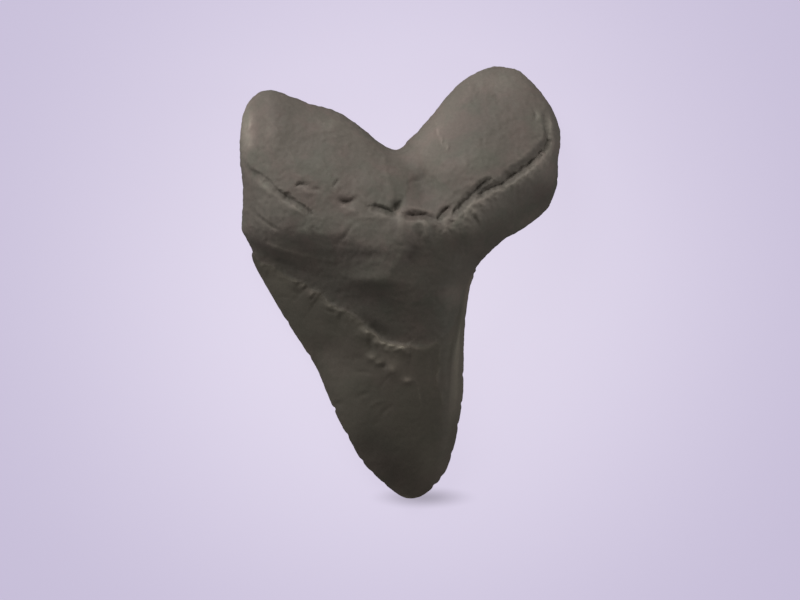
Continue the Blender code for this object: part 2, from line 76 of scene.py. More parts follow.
# Height of the lingual face above the surface, at spots of its broad form: x, y, height.
LINGUAL_SPOTS = [
    (32, 66, 9.8), (22, 61, 13.5), (41, 63, 13.5), (31, 55, 18.4), (19, 53, 16),  # right lobe
    (45, 53, 17.2), (12, 46, 17.6), (24, 44, 24.3), (36, 43, 23), (45.5, 46, 20.1), (33, 36, 25.5),
    (3.3, 39.5, 17), (6.6, 33, 20.4), (10, 27, 25), (-3, 39, 19),  # trough between the lobes
    (-8, 41, 20), (2, 33, 21.6), (-3, 33, 23.6), (-9, 33, 25.4), (14, 37, 24.8), (17, 30, 27),
    (-42, 58, 14.5), (-31, 54, 16.5), (-22, 50, 18.5), (-49.5, 47, 12), (-42, 47, 19),  # left lobe
    (-36, 44, 20.2), (-24, 42, 22.5), (-15, 42, 21.2), (-48, 38, 16.5), (-37, 32, 23), (-22, 32, 26.3),
    (-14, 34, 25),
    (-48, 27, 16.5), (-39, 23, 22), (-29, 23, 24.6), (-18, 23, 26.8), (-8, 19, 28.5),  # bulge
    (3, 19, 29.2), (10, 18.5, 28.9), (-46, 18.5, 16.2), (-38, 17, 21), (-30, 16, 23.8), (-22, 15, 26),
    (-12, 12, 27.8), (-4, 8, 28), (4, 8, 26.4),
    (15.5, 16, 27.7), (20.5, 20, 28), (27, 26.7, 26.8), (32, 29.3, 25.6),  # right flank
    (39.5, 32.5, 23.3), (46, 37, 20.3), (49.3, 42.5, 17.5), (23, 16, 26.4), (30, 21.5, 23.8),
    (37, 24.5, 19.5), (44, 29, 16.5), (16, 10, 24.8), (19, 5, 21.5), (24, 2, 15), (27, 12, 19),
    (-45, 12, 13.8), (-36, 9, 15.2), (-28, 7.5, 17.6), (-20, 5, 20.8), (-33, 2, 14),  # foot of the bulge
    (-24, -2, 16.5), (-4, 0, 25.2), (6, -2, 24.6), (-14, -5, 19.8), (5, -12, 21.2),  # neck
    (-5, -12, 20.3), (0, -19, 18.2), (15, -3, 20.8), (15, -13, 17.6),
    (6, -25, 17.2), (7, -38, 14.7), (6, -51, 11), (4, -63, 6.2), (3.5, -70, 2.8),  # ridge of the crown
    (-16, -15, 17), (-13, -35, 15), (-8, -52, 9.3), (15, -30, 14.2), (15, -50, 9.4),  # its flanks
]

# Edge of the bulge's shelf. The neck past it is as dark as the crown, partly its own stain and partly
# painted shade under the shelf.
SHELF_EDGE = [
    (-52, 13), (-44, 12), (-36, 12.5), (-24, 11), (-8, 4), (2, 7), (12, 14), (24, 20), (40, 26), (52, 34),
]
STAIN_AND_SHADE_EDGE = 4.0  # half the width over which the stain and painted shade begin
TIP_STAIN_AND_SHADE_EDGE = [(-16, -51), (-2, -49.5), (7, -57), (13, -70)]  # darker tip past this line, partly stain and partly painted shade where the tip bends away from the lamps
TIP_STAIN_AND_SHADE_FADE, TIP_STAIN_AND_SHADE_SHARE = 5.0, 0.4

# Patches painted paler (above zero) or darker (below): mostly painted highlight where the lamps fall and
# painted shade where shade lies, with some of the stone's own uneven tone:
# x, y, half length, half width, turn, share.
TONE_AND_PAINTED_LIGHT_PATCHES = [
    (-49.6, 49.3, 7, 2.2, 90, 0.9), (-47, 51, 8, 5, 90, 0.12), (-38.5, 55.5, 6, 5, 0, -0.16),  # left lobe
    (-11.6, 47.3, 8, 3, -38, 0.18), (-30, 46, 5, 6, 0, -0.05), (-22, 51, 3, 2.5, 0, 0.12),
    (8.2, 46.7, 9, 5, 50, 0.34), (15.7, 56, 7, 5, 45, 0.2), (29.5, 65, 9, 4, 0, 0.3),  # right lobe
    (43, 46.5, 3, 3.2, 0, -0.08), (8.5, 25, 8, 2.2, 0, -0.1), (8, 38, 5, 5, 0, 0.14),
    (25, 38, 8, 5, 25, 0.2), (45.5, 53, 3, 5, 0, 0.2), (26, 50, 6, 5, 45, -0.06),
    (12.6, 49.3, 0.9, 2, 0, 0.12), (14.5, 45, 1.2, 1.8, 0, 0.2), (48.4, 50, 1.2, 4, 0, 0.12),
    (3, 29, 8, 4, 0, -0.12),
    (-33.5, 23.5, 4, 1.3, -30, 0.12), (10.8, 21, 2.4, 1, -10, -0.15),  # along the folds and the lip
    (28.2, 31.4, 2, 1, 38, -0.25), (48.4, 46, 1, 4, 0, 0.12), (26, 29.6, 2.4, 0.8, 42, -0.4),
    (-48, 30, 12, 3, 90, -0.17), (-44.5, 31, 6, 1.5, -40, 0.15),  # bulge and right flank
    (24.6, 24, 4, 2, 40, 0.2), (51.5, 38, 2, 6, 0, -0.15), (45.5, 29, 5, 4, 45, -0.24),
    (25, 18, 6, 3, 35, 0.16), (-18.2, 14.2, 3, 1.8, 0, -0.2), (-6, 9.2, 7, 2.4, -4, -0.18),
    (-32, 8.2, 7, 2, -12, 0.2), (-1.6, 17, 1.2, 3, 0, -0.2), (3.8, 10.4, 2, 3, -30, -0.12),
    (-9, 1.3, 9, 1.3, 0, -0.07), (-9, 15.2, 7, 3, 0, -0.11), (-3, 6.4, 2, 2, 0, -0.14),
    (-50, 17, 2.5, 5, 0, -0.12), (-26, 13, 3, 2, 0, 0.12), (-32.4, 12, 2, 1.5, 0, -0.14),
    (-33, 20, 12, 3.5, -5, -0.18), (-20, 9.6, 9, 2.8, -8, -0.32), (-12.5, 8.5, 6, 2.4, -4, -0.25),
    (-45, 13.5, 4, 3, 0, -0.3), (5, 9.5, 6, 3, 50, -0.25), (19.8, 17.8, 4.6, 2.8, 30, 0.4),
    (9.5, 14.8, 4, 2, 0, -0.1), (15.3, 12, 4, 4, 0, 0.26), (33, 20, 5, 3, 35, 0.12),
    (40, 18.5, 8, 2.5, 37, 0.24), (39, 29, 6, 3, 40, -0.16), (12, 0, 9, 5, 0, -0.08),
    (-14, -5, 9, 4.5, 0, -0.24), (-24, 0.5, 7, 2.5, -25, -0.12), (-2.5, -7, 6, 4, 0, -0.2),  # neck
    (-7, -14, 5, 2, -35, -0.22), (17.5, -4, 4, 4, 0, 0.34),
    (-44, 4.5, 3, 2, -48, 0.14), (-40.5, 2.2, 8, 3.2, -48, 0.44),  # crown and its enamel edge
    (22.8, 0.5, 2.5, 4, 0, 0.14), (18.9, -19, 2, 9, 5, 0.15), (-2.5, -25.5, 5, 4, 0, 0.26),
    (-9, -24.3, 1.6, 1.4, 0, 0.25), (-1.8, -27, 1.6, 2.5, 0, 0.2), (2.4, -31.9, 1.6, 1, 0, 0.25),
    (-20, -32, 4, 8, 30, 0.14), (-1.5, -20.8, 4.5, 1.3, -8, 0.3), (-3, -31.5, 7, 5, 20, -0.12),
    (-11.6, -52.5, 6, 5, 60, -0.24), (-5, -56, 4, 4, 0, -0.14), (-2.5, -61.8, 5, 5, 0, -0.25),
    (9, -60, 3.5, 7, 0, 0.24), (17.9, -20.5, 1.2, 5, 5, 0.12),
]
FOLD_PAINTED_SHADE, FOLD_PAINTED_SHADE_DEPTH = 0.2, 0.8  # painted shade in the folds: share darker, in full from this depth
LIP_WEAR_AND_HIGHLIGHT = 0.1  # share paler for each millimetre of the lip's height: partly rubbed wear, partly painted highlight
ENAMEL_WEAR_AND_HIGHLIGHT, ENAMEL_PALE_AT, ENAMEL_PALE_WIDTH = 0.28, 0.7, 1.2  # share, place and width on its ridge of a paler band, partly rubbed wear and partly painted highlight
# Painted light on the pale strip along the right cutting edge, where the right lamp falls: its inner side,
# and how it fades towards the tip.
EDGE_LIGHT_LINE = [
    (30, 3), (24, 2.5), (22.4, 0), (20.9, -5.9), (19.6, -12.4), (17.8, -20.5), (16.9, -27),
    (16.5, -33.5), (15.9, -42), (14, -60),
]
EDGE_PAINTED_LIGHT, EDGE_LIGHT_FADE, EDGE_LIGHT_ENDS = 0.5, 0.7, (-52, -34)
ENAMEL_BLEND = 0.2  # half the width over which the neck's finish turns into the enamel's

# Foot of the root's bulge, where the crown's sections take over.
BULGE_FOOT = [(-50, 9.5), (-40, 7), (-28, 3.5), (-12, -1.5), (6, -4), (17, -1), (25, 3.5)]
FOOT_WIDTH = 7.0

# Folds of the lingual face, from -X to +X: x, y, depth, and width of the side towards the lobes.
FOLDS = [
    [(-51.2, 40.2, 0.3, 0.7), (-49.6, 37.9, 0.5, 0.7), (-47.7, 36, 0.6, 0.8), (-46, 35, 0.7, 0.8),
     (-44.4, 34.3, 0.5, 0.8), (-42.1, 32.4, 0.4, 0.7), (-40.2, 30.4, 0.4, 0.7), (-38, 28.6, 0.9, 1.0),
     (-36.3, 27.5, 1.4, 1.5), (-34.9, 26.5, 0.9, 1.1), (-33.4, 25.9, 0.6, 0.7), (-31.1, 24.3, 0.6, 0.7),
     (-28.8, 22.3, 0.5, 0.7), (-27.5, 21, 0.1, 0.7)],
    [(-9.6, 24.4, 0.3, 0.8), (-7.7, 24.2, 1.2, 1.2), (-5.8, 23.8, 1.3, 1.3), (-4.1, 23.1, 1.4, 1.4),
     (-2.2, 22.3, 0.9, 1.3)],
    [(1.6, 22, 0.5, 1.0), (2.8, 21.6, 1.7, 1.9), (5, 21.4, 2.1, 2.2), (7.4, 21.4, 1.7, 1.8),
     (9.4, 20.9, 0.9, 1.7), (11.4, 20.2, 0.6, 1.7)],
    [(12.1, 19.2, 0.2, 0.9), (12.6, 20.6, 1.2, 1.5), (13.8, 22, 1.4, 1.8), (15.2, 23.4, 1.3, 1.7),
     (16.2, 24.6, 0.4, 1.0)],
    [(16.7, 20.4, 0.1, 0.8), (17.4, 22.2, 1.0, 1.1), (18.8, 23.4, 1.2, 1.5), (20.1, 24.7, 1.3, 1.7),
     (21.3, 26.3, 1.3, 1.9), (22.8, 27.8, 1.2, 1.9), (24.3, 29.3, 1.2, 1.9), (25.6, 30.9, 1.2, 1.6),
     (27.2, 32.2, 1.0, 1.3), (28.9, 33.1, 0.6, 1.0), (30, 33.5, 0.1, 0.8)],
    [(24.2, 28, 0.3, 0.8), (26.1, 28.6, 1.2, 1.4), (28.7, 30.1, 1.2, 1.6), (30.9, 31.2, 1.3, 1.8),
     (33.5, 32.2, 1.6, 2.6), (35.8, 33.8, 2.1, 3.4), (38.1, 35.2, 2.2, 3.5), (40.7, 37.2, 2.2, 3.2),
     (42.6, 38.9, 2.1, 2.9), (45, 41.6, 1.9, 2.5), (46.6, 43.9, 1.7, 2.1), (47.5, 46, 1.3, 1.4),
     (47.2, 48.2, 0.9, 1.0), (46.9, 50, 0.7, 0.9), (46.7, 52.5, 0.7, 0.9), (46.7, 54.8, 0.5, 0.9),
     (45.9, 57, 0.1, 0.9)],
]
FOLD_SLOPE = 1.8  # width of a fold's other side, which rises to the lip
FOLD_WALL_CURVE = 1.4  # 1 is a straight wall towards the lobes, more is one that steepens to the bottom
TENT_ROUNDING = 0.1

# Uneven lines and heights: size of the swells, seed, and amount.
FOLD_WANDER, FOLD_UNEVEN = (1.4, 21.0, 0.3), (2.5, 23.0, 0.15)
LIP_WANDER, LIP_KNOBS = (1.8, 31.0, 0.6), [(2.4, 8.0, 0.5), (1.1, 9.0, 0.4)]
ENAMEL_CHIPS, ENAMEL_KNOBS = (2.4, 5.0, 0.35), (1.7, 11.0, 0.8)
EDGE_ROUGHNESS = (1.7, 3.0, 0.16)

# The lip along the right folds: x, y, height of its crest, and width of its side away from the folds.
LIP = [
    (11.4, 16.4, 0.3, 4), (14.5, 17.8, 0.9, 4), (17, 18.7, 1.0, 4), (19, 20.6, 1.1, 4),
    (21.5, 22.8, 1.2, 4.5), (23.8, 24.4, 1.1, 5), (26.4, 25.6, 1.1, 5), (31.2, 28.4, 1.1, 4),
    (36.1, 31, 1.1, 3), (38.4, 32.2, 1.1, 2.6), (41, 34, 1.2, 2.4), (43, 35.8, 1.4, 2.4),
    (45.8, 38.6, 1.5, 2.4), (47.8, 41.4, 1.4, 2.2), (49.3, 44.7, 1.1, 2), (49.5, 47.3, 0.9, 2),
    (48.8, 50, 0.6, 2), (48.6, 53, 0.3, 2),
]
LIP_INNER = 2.8  # width of its side towards the folds

# Narrow grooves (below zero) and ridges (above): half width, then x, y and height of each point.
GROOVES = [
    (0.6, [(0.7, 26.9, -0.3), (0.1, 24.9, -0.8), (-1.2, 23, -0.8)]),  # pit where the folds meet
    (1.0, [(-19.6, 26.5, -0.4), (-18.3, 25.9, -1.2), (-16.5, 25.9, -1.4), (-14.8, 26.6, -0.6),
           (-13.2, 27, -0.1)]),  # pit between the left and middle folds
    (0.4, [(-21.4, 30.8, -0.3), (-20.1, 32.7, -0.6)]),  # short slits of the left lobe
    (0.7, [(-29.8, 30.8, -0.2), (-28.2, 29.8, -0.5), (-26.2, 29.8, -0.5), (-24.9, 28.5, -0.2)]),
    (0.5, [(-33.3, 31, -0.6), (-32.2, 31.6, -0.8), (-30.3, 31.3, -0.5)]),
    (0.5, [(-46.4, 21.4, -0.2), (-44.4, 20.1, -0.5), (-42.1, 18.4, -0.7), (-40.5, 17.5, -0.7),
           (-38.6, 16.5, -0.2)]),  # crease under the left fold
    (1.8, [(-44.7, 15.8, -0.2), (-38.9, 14.2, -0.6), (-32.4, 12.9, -0.8), (-26.6, 12.7, -0.7),
           (-20.1, 13, -0.6), (-16.5, 13.5, -0.2)]),  # groove, ridge and groove under the left shelf
    (1.0, [(-46.7, 13.6, 0.3), (-42.1, 11.6, 0.7), (-37.3, 10, 0.8), (-32.4, 8.7, 0.6), (-27, 7.5, 0.4),
           (-21, 6.6, 0.1)]),
    (1.8, [(-46.4, 11.3, -0.3), (-41.5, 8.4, -0.9), (-36.3, 6.1, -1.1), (-30.8, 3.8, -0.8),
           (-25.3, 1.5, -0.5), (-19.4, -0.4, -0.2)]),
    (0.7, [(-15.8, 17.5, -0.2), (-17.5, 14.9, -0.4), (-20.1, 12.6, -0.1)]),  # flake on the bulge
    (1.6, [(0, 22.5, 0.3), (0, 19.4, 0.8), (0.3, 15.2, 0.5), (0.5, 10.5, 0.1)]),  # buttresses
    (1.0, [(6.2, 20.2, 0.3), (7.7, 19.1, 0.8), (8.3, 17.2, 0.8), (8.2, 14.5, 0.5), (8, 12.5, 0.1)]),
    (1.7, [(4.6, 18.4, -0.1), (5.6, 16.6, -0.35), (6.4, 14.2, -0.35), (6.8, 11, -0.1)]),
    (1.2, [(10.6, 19.2, -0.1), (10.9, 16, -0.5), (11.1, 12, -0.1)]),
    (1.6, [(4.3, 16.8, 0.3), (1.8, 11.2, 0.5), (-1.4, 5.8, 0.5), (-3.8, 2.6, 0.2)]),
    (1.6, [(14.1, 20.1, 0.3), (14.8, 17, 0.6), (15.4, 12.5, 0.1)]),
    (0.5, [(23.8, 21, -0.5), (24.8, 19.4, -0.6), (25.7, 17.5, -0.2)]),  # crack in the lip
    (0.6, [(22.2, 0, -0.1), (20.6, -5.9, -0.8), (19.3, -12.4, -1.0), (17.5, -20.5, -0.7), (16.6, -27, -0.3),
           (16.2, -33.5, -0.1)]),  # inside the right cutting edge
    (1.3, [(22.2, -4, 0.3), (21, -10, 0.7), (20, -15.5, 0.8), (19.3, -21, 0.8), (18.8, -27, 0.7),
           (18.6, -35, 0.5), (18.2, -44, 0.2)]),
    (1.0, [(-8.9, -18.3, -0.2), (-9.5, -20.9, -0.35), (-8.6, -23.1, -0.1)]),  # notch in the enamel
    (0.35, [(4.6, -31.3, 0.1), (5.9, -34.5, 0.25), (6.6, -37.8, 0.25), (7.2, -41.7, 0.1)]),  # growth ridges
    (0.4, [(13.1, -21.5, 0.15), (12.7, -24.8, 0.25), (13.1, -26.7, 0.1)]),
    (0.5, [(12.7, -28, 0.2), (12.1, -31.3, 0.35), (12.1, -34.5, 0.1)]),
    (0.4, [(13.4, -35.8, 0.15), (13.7, -39.7, 0.15)]),
    (0.5, [(9.8, -22.8, 0.1), (9.5, -29.3, 0.15), (10.1, -36.8, 0.1)]),
    (3.4, [(-43.5, 60, 0.1), (-42, 55.8, 0.3), (-41, 49.9, 0.4), (-39.4, 44.4, 0.4), (-36.5, 39.5, 0.4),
           (-33, 35, 0.1)]),  # shoulder of the left lobe
    (1.2, [(-5.4, 43.4, 0.2), (-4.8, 37.9, 0.45), (-3.8, 32.4, 0.45), (-2.5, 26.6, 0.2)]),  # trough
    (3.6, [(0.6, 42.1, -0.2), (3.4, 38.9, -0.6), (6.4, 33.7, -0.8), (8.3, 29.2, -0.7), (10, 24.6, -0.2)]),
    (0.35, [(43, 56.1, -0.3), (43.6, 54.2, -0.6), (43.6, 52.2, -0.2)]),  # beside the outer fold
    (0.8, [(48.5, 54.5, 0.2), (48.8, 51.2, 0.5), (48.5, 47.3, 0.5), (49.1, 43.4, 0.3)]),
    (0.6, [(-13.6, -37.6, -0.1), (-11.9, -36.5, -0.15), (-10, -36, -0.1)]),  # slanting marks of the blade
    (0.6, [(-9.6, -40.4, 0.1), (-7.4, -38.9, 0.15), (-5.1, -38.6, 0.1)]),
    (0.7, [(-6.1, -43.3, -0.1), (-4.3, -41.4, -0.2), (-2.6, -40.2, -0.1)]),
    (0.6, [(-14.2, -29, -0.1), (-12.3, -29.3, -0.25), (-9.7, -29.6, -0.1)]),
    (0.5, [(-6.1, -33.9, -0.1), (-4.5, -31.9, -0.12), (-2.8, -30, -0.1)]),
]

# Upper edge of the enamel: x, y and height of its step over the neck.
ENAMEL_EDGE = [
    (-47.3, 8, 0.4), (-44.4, 5.9, 0.9), (-41.5, 5.1, 0.5), (-37.3, 2.2, 0.9), (-34, 0.8, 1.2),
    (-31.4, -0.3, 1), (-29.8, -1.5, 0.6), (-28.5, -2.9, 1.2), (-25.9, -3.5, 0.9), (-24.9, -5, 0.6),
    (-23.3, -6.5, 1.1), (-20.4, -8.3, 1.2), (-17.8, -9.3, 0.7), (-15.5, -10.8, 0.7), (-12.9, -12.8, 0.5),
    (-11.9, -14, 0.6), (-10.3, -15.6, 1.3), (-7.7, -17.2, 1.1), (-6.4, -18.6, 1.4), (-3.8, -19.7, 1.8),
    (-1.2, -20.3, 1.9), (1.4, -20.7, 1.7), (3.3, -20.2, 0.6), (5, -21, 0.7), (8.2, -21, 0.5),
    (10.5, -20, 0.4), (13.1, -18.6, 0.15), (17, -14.5, 0.1), (19.5, -8, 0.1), (21.5, -1, 0.2),
    (23.5, 2.5, 0.2), (25, 3.3, 0.2), (29, 3.8, 0.2),
]
ENAMEL_RIDGE_AT, ENAMEL_UPPER, ENAMEL_LOWER = 0.5, 1.0, 2.4  # crest, and widths of its two sides
ENAMEL_RIDGE_SHARE, ENAMEL_RIDGE_MEAN, ENAMEL_STEP_SHARE = 0.55, 0.85, 0.5
ENAMEL_RISE, ENAMEL_FADE = 1.0, 7.0  # half the step's width, and how far it reaches into the crown

# Rounded lumps (positive) and hollows (negative) of the lingual face:
# x, y, half length, half width, turn in degrees from +X, height.
LUMPS = [
    (-26.5, 31, 4, 1.2, -15, -0.2), (-30.5, 29.2, 2, 1, -20, 0.25),  # left lobe
    (-22, 50.6, 2.6, 2.4, 0, 0.4), (-22.5, 47.9, 2, 0.6, 5, -0.3), (-18.1, 46.7, 1.4, 0.5, 5, -0.4),
    (-15.5, 44.1, 0.5, 0.8, 0, -0.3), (-10, 44.4, 0.9, 1, -30, -0.35), (-5.6, 43, 1, 1.2, 30, -0.4),
    (-48.6, 50.3, 1.0, 2.4, 0, 0.9), (-48.9, 44.6, 0.9, 1.9, 0, 0.8), (-44.4, 46.7, 0.6, 1.4, 0, -0.3),
    (-46.4, 39.9, 0.7, 0.7, 0, -0.35), (-29.2, 42.8, 5, 6, 0, -0.3),
    (11.8, 51.2, 0.7, 0.6, 0, 0.3), (12.3, 48.3, 0.7, 1.5, 5, 0.8),  # right lobe
    (13.4, 45.7, 0.8, 1.5, 0, 0.9), (15.2, 43.4, 0.7, 1.1, -20, 0.9), (14, 45.1, 0.4, 0.4, 0, -0.4),
    (23.8, 58.7, 0.7, 1.1, 10, -0.35), (26.7, 44.4, 0.6, 1.8, 5, -0.3), (44.9, 53.5, 0.9, 1.5, 5, 0.7),
    (44.3, 49.9, 0.7, 1.4, 0, 0.2), (35.5, 51.5, 1.2, 0.9, -30, -0.2), (31, 60, 2, 1, 40, -0.15),
    (21, 37.5, 1.5, 3, 20, 0.15),
    (-16, 22.5, 3.5, 1.4, 0, 0.4), (-8, 20.8, 4.5, 1.5, 0, 0.3),  # along the folds and the lip
    (-33.4, 23.4, 3.5, 1, -25, 0.4), (-1.4, 24.2, 2.4, 1.7, 65, -1.9), (-17.8, 24.3, 1, 0.8, 0, 0.3),
    (-15.2, 23.3, 1.4, 0.9, -20, 0.35), (27.2, 31.2, 1.8, 0.8, 38, 0.2), (40, 36.3, 0.9, 0.7, 30, 0.35),
    (37.4, 34, 0.9, 0.7, 30, 0.3), (30.3, 29.3, 1, 0.8, 20, 0.3), (48.5, 42.1, 0.7, 0.9, 0, 0.4),
    (21.5, 24.3, 1.2, 0.7, 40, 0.3), (14, 20.5, 0.8, 0.8, 0, 0.4), (15.8, 20, 0.7, 0.9, 0, 0.3),
    (-48, 40.8, 0.9, 0.8, 0, -0.3),
    (-9.5, 0.6, 7.5, 2.2, -3, 1.4), (-8, 8, 9, 2.0, -6, -0.3),  # bulge, its foot and the right flank
    (-14, 17, 3.5, 5, 20, 0.3), (-7, 15.5, 3, 5, 0, -0.2), (-21, 11, 6, 2.5, -12, -0.6),
    (-18.8, 13.2, 1.6, 1, -30, 0.3), (-43.4, 30.1, 3.6, 1.5, -38, 0.7), (1.5, 17, 3.4, 5.5, -20, 0.7),
    (26.1, 25.9, 1, 0.8, 30, 0.3), (23, 20.3, 0.6, 0.9, 0, 0.3), (26, 20.6, 0.6, 0.8, 0, 0.3),
    (-6.4, -5, 7, 2.6, 0, -0.3), (4, -11, 9, 5, 0, -0.2), (-8, -15, 5, 1.5, -38, -1.0),  # neck
    (-3.8, -24.8, 3.4, 3.4, -20, 0.5), (-9.2, -24.6, 1.8, 1.4, -10, 0.8),  # crown and its enamel edge
    (-5.1, -27.4, 0.8, 0.7, 0, -0.4), (-6.9, -26.2, 1.4, 1, 20, 0.6), (-2.8, -28.4, 1.8, 2.2, 20, 0.7),
    (2.4, -31.9, 1.7, 1.1, 5, 0.6), (-25.5, -22.4, 7, 4.2, 5, -0.6), (-20.1, -39.7, 1.3, 0.9, 10, -0.3),
    (-8, -46, 2.6, 1.2, 20, -0.15), (-33.5, -3.4, 1.3, 0.6, -20, -0.3), (-43.8, 4.6, 1, 0.5, 0, -0.3),
    (-28.5, -5.4, 0.8, 0.6, 40, -0.3), (-22.4, -9.6, 1.3, 0.5, -10, -0.4), (-37.5, -5, 1.6, 0.5, 0, -0.2),
    (-16, -16.5, 4, 2, -30, 0.25), (-23, -14.5, 5, 1.5, -30, -0.2), (-14, -33, 5, 3, 30, 0.2),
    (0, -50, 5, 4, 40, -0.2),
]

# Chips out of the cutting edges: x, y, half width, depth.
EDGE_CHIPS = [
    (-47.4, 9.6, 0.7, 0.6), (-36.7, -13, 0.9, 0.25), (-29.3, -24, 0.8, 0.3), (-21.6, -41.3, 0.7, 0.6),
    (-17.6, -49.9, 0.8, 0.45), (-12.9, -58.6, 0.8, 0.6), (-9.5, -62.3, 0.7, 0.3), (-5.6, -66, 0.8, 0.35),
    (20.6, -30.2, 0.6, 0.35), (20.3, -39.6, 0.7, 0.4), (19.4, -46.5, 0.7, 0.45), (17.2, -56, 0.8, 0.35),
    (13.4, -63.2, 0.8, 0.35), (11.1, -66.1, 0.8, 0.5), (24.3, 2.6, 0.9, 0.5), (21.5, -12, 0.7, 0.15),
]

CROWN_RIDGE = [(4.5, -70), (6, -50), (7, -20), (8, 10)]  # highest line of the crown, from its tip

# Rounding of the rim: how far in from the outline the faces reach their full height.
ROOT_RIM_TOP, ROOT_RIM_UNDER, CROWN_RIM_UNDER = 10.5, 6.5, 6.8
RIM_HEIGHT_ROOT, RIM_HEIGHT_CROWN = 7.0, 3.4  # the outline's own height above the surface
TIP_THINNING, TIP_FROM, TIP_TO = 0.5, -45, -70  # how much lower the outline is at the tip, from y to y
INSET_PLAIN, INSET_SOFT = 1.5, 4.5  # where the plain distance from the outline gives way to the soft one
RELIEF_MARGIN = 2.0  # how far in from the outline the relief reaches its full height

# Fullness of the crown's flanks: 1 is a straight slope, more is a rounder one.
CROWN_FULLNESS_LEFT, CROWN_FULLNESS_SHOULDER, CROWN_FULLNESS_RIGHT = 2.0, 3.5, 6.0
SHOULDER_FROM, SHOULDER_TO = -25, 0  # y between which the left flank turns into the shoulder
CROWN_FULLNESS_UNDER = 0.8  # of the crown's rim underneath

# The labial face: pads that touch the surface, the lift between them, and its shallow hollows.
REST_PADS = [(-35, 36, 9), (33, 42, 9), (2, -30, 10)]
LABIAL_LIFT, PAD_PRESS = 0.45, 2.2  # the lift, and how firmly the pads press it flat
LABIAL_HOLLOWS = [(0, 38, 11, 9, 0, 3.2), (4, -68, 12, 9, 0, 1.0)]
LABIAL_ENAMEL_EDGE = [(-47.5, 8.6), (-32, 2), (-12, -2.5), (8, -2.5), (24, 3.5)]
LABIAL_STEP, LABIAL_WALL, LABIAL_NECK = 0.9, 0.5, 9  # step up to the root, half its width, its fading
RESTING_HEIGHT = 0.3  # the grain fades below this height, so that the pads stay flat

# Steps along a fold or groove, the enamel's edge, the lip, a line of the mesh, and a stain.
FOLD_LINE_STEP, ENAMEL_LINE_STEP, LIP_LINE_STEP, MESH_LINE_STEP, STAIN_LINE_STEP = 0.4, 0.5, 0.6, 0.8, 1.0
# How far away a fold, a groove and the lip still count: the first two times their widths.
FOLD_FAR, GROOVE_FAR, LIP_FAR = 2.5, 3, 10

# Fineness of the mesh.
OUTLINE_STEP, STEP_ABOVE, STEP_FOLDS, STEP_BELOW = 0.55, 0.55, 0.27, 0.9
GRID_GAP, FINE_GAP = 0.6, 0.5  # least gaps to the ring and to the coarse grid, as shares of the steps
FOLD_REACH = 1.5  # how far from a fold the mesh is finest
RIM_REACH, RINGS_ABOVE, RINGS_BELOW, RIM_STEPS = 3.0, 15, 10, 24
SOFT_INSET_EVERY = 4  # the soft distance is measured to one in this many of the outline's points


def smooth_line(points, step, closed=False):
    """Points a step apart on the Catmull-Rom curve through the given ones, with their other columns."""
    p = np.asarray(points, float)
    p = np.vstack([p[-1], p, p[0], p[1]] if closed else [2 * p[0] - p[1], p, 2 * p[-1] - p[-2]])
    t = np.linspace(0, 1, 20, endpoint=False)[:, None]
    spans = [
        b + ((c - a) * t + (2 * a - 5 * b + 4 * c - d) * t**2 + (3 * b - a - 3 * c + d) * t**3) / 2
        for a, b, c, d in zip(p, p[1:], p[2:], p[3:])
    ]
    fine = np.vstack([*spans, p[-2]])
    run = np.concatenate([[0], np.cumsum(np.linalg.norm(np.diff(fine[:, :2], axis=0), axis=1))])
    at = np.linspace(0, run[-1], round(run[-1] / step) + 1)
    even = np.column_stack([np.interp(at, run, column) for column in fine.T])
    return even[:-1] if closed else even


def blocks(points):
    """Numbers of the points, in blocks that are worked on one at a time to spare memory."""
    return np.array_split(np.arange(len(points)), len(points) // 2000 + 1)


def beside(points, line):
    """Distance of each point from a line, positive on the line's right, and the line's values there."""
    start, way = line[:-1, :2], np.diff(line[:, :2], axis=0)
    squared = (way**2).sum(1)
    apart, values = np.empty(len(points)), np.empty((len(points), line.shape[1]))
    for block in blocks(points):
        off = points[block, None] - start
        t = np.clip((off * way).sum(2) / squared, 0, 1)
        gap = off - t[..., None] * way
        distance = np.linalg.norm(gap, axis=2)
        near = distance.argmin(1)
        row = np.arange(len(block))
        turn = way[near, 0] * gap[row, near, 1] - way[near, 1] * gap[row, near, 0]
        apart[block] = distance[row, near] * np.where(turn > 0, -1, 1)
        t = t[row, near, None]
        values[block] = line[near] * (1 - t) + line[near + 1] * t
    return apart, values


def near_line(points, line, reach):
    """Numbers of the points within reach of a line's box, and what beside() says of them."""
    low, high = line[:, :2].min(0) - reach, line[:, :2].max(0) + reach
    numbers = np.flatnonzero(((points > low) & (points < high)).all(1))
    return numbers, *beside(points[numbers], line)


def inset_from(points, line):
    """How far inside the outline each point lies, without a plain distance's creases at corners."""
    closed = np.vstack([line, line[0]])
    along_a_straight_line = 0.982  # about 5 pi / 16, the integral of (1 + u * u) ** -4
    plain = np.maximum(beside(points, closed)[0], 0)
    sparse = line[::SOFT_INSET_EVERY]
    stretch = np.linalg.norm(np.roll(sparse, -1, axis=0) - np.roll(sparse, 1, axis=0), axis=1) / 2
    soft = np.empty(len(points))
    for block in blocks(points):
        squared = ((points[block, None] - sparse) ** 2).sum(2) + 1e-9
        soft[block] = (squared**-4 @ stretch / along_a_straight_line) ** (-1 / 7)
    share = smoothstep(INSET_PLAIN, INSET_SOFT, plain)
    return plain * (1 - share) + soft * share


def smoothstep(low, high, value):
    t = np.clip((value - low) / (high - low), 0, 1)
    return t * t * (3 - 2 * t)


def bell(value, width):
    return np.exp(-((value / width) ** 2))


def tent(value, width):
    """1 at 0 and straight down to 0 at the width, with a rounded top."""
    return np.clip(1 + TENT_ROUNDING - np.hypot(value / width, TENT_ROUNDING), 0, 1)


def wander(points, size, seed, amount):
    """Smooth noise over the plan, up and down by about the amount, with swells of the given size."""
    return amount * np.array([noise.noise((x / size, y / size, seed)) for x, y in points])


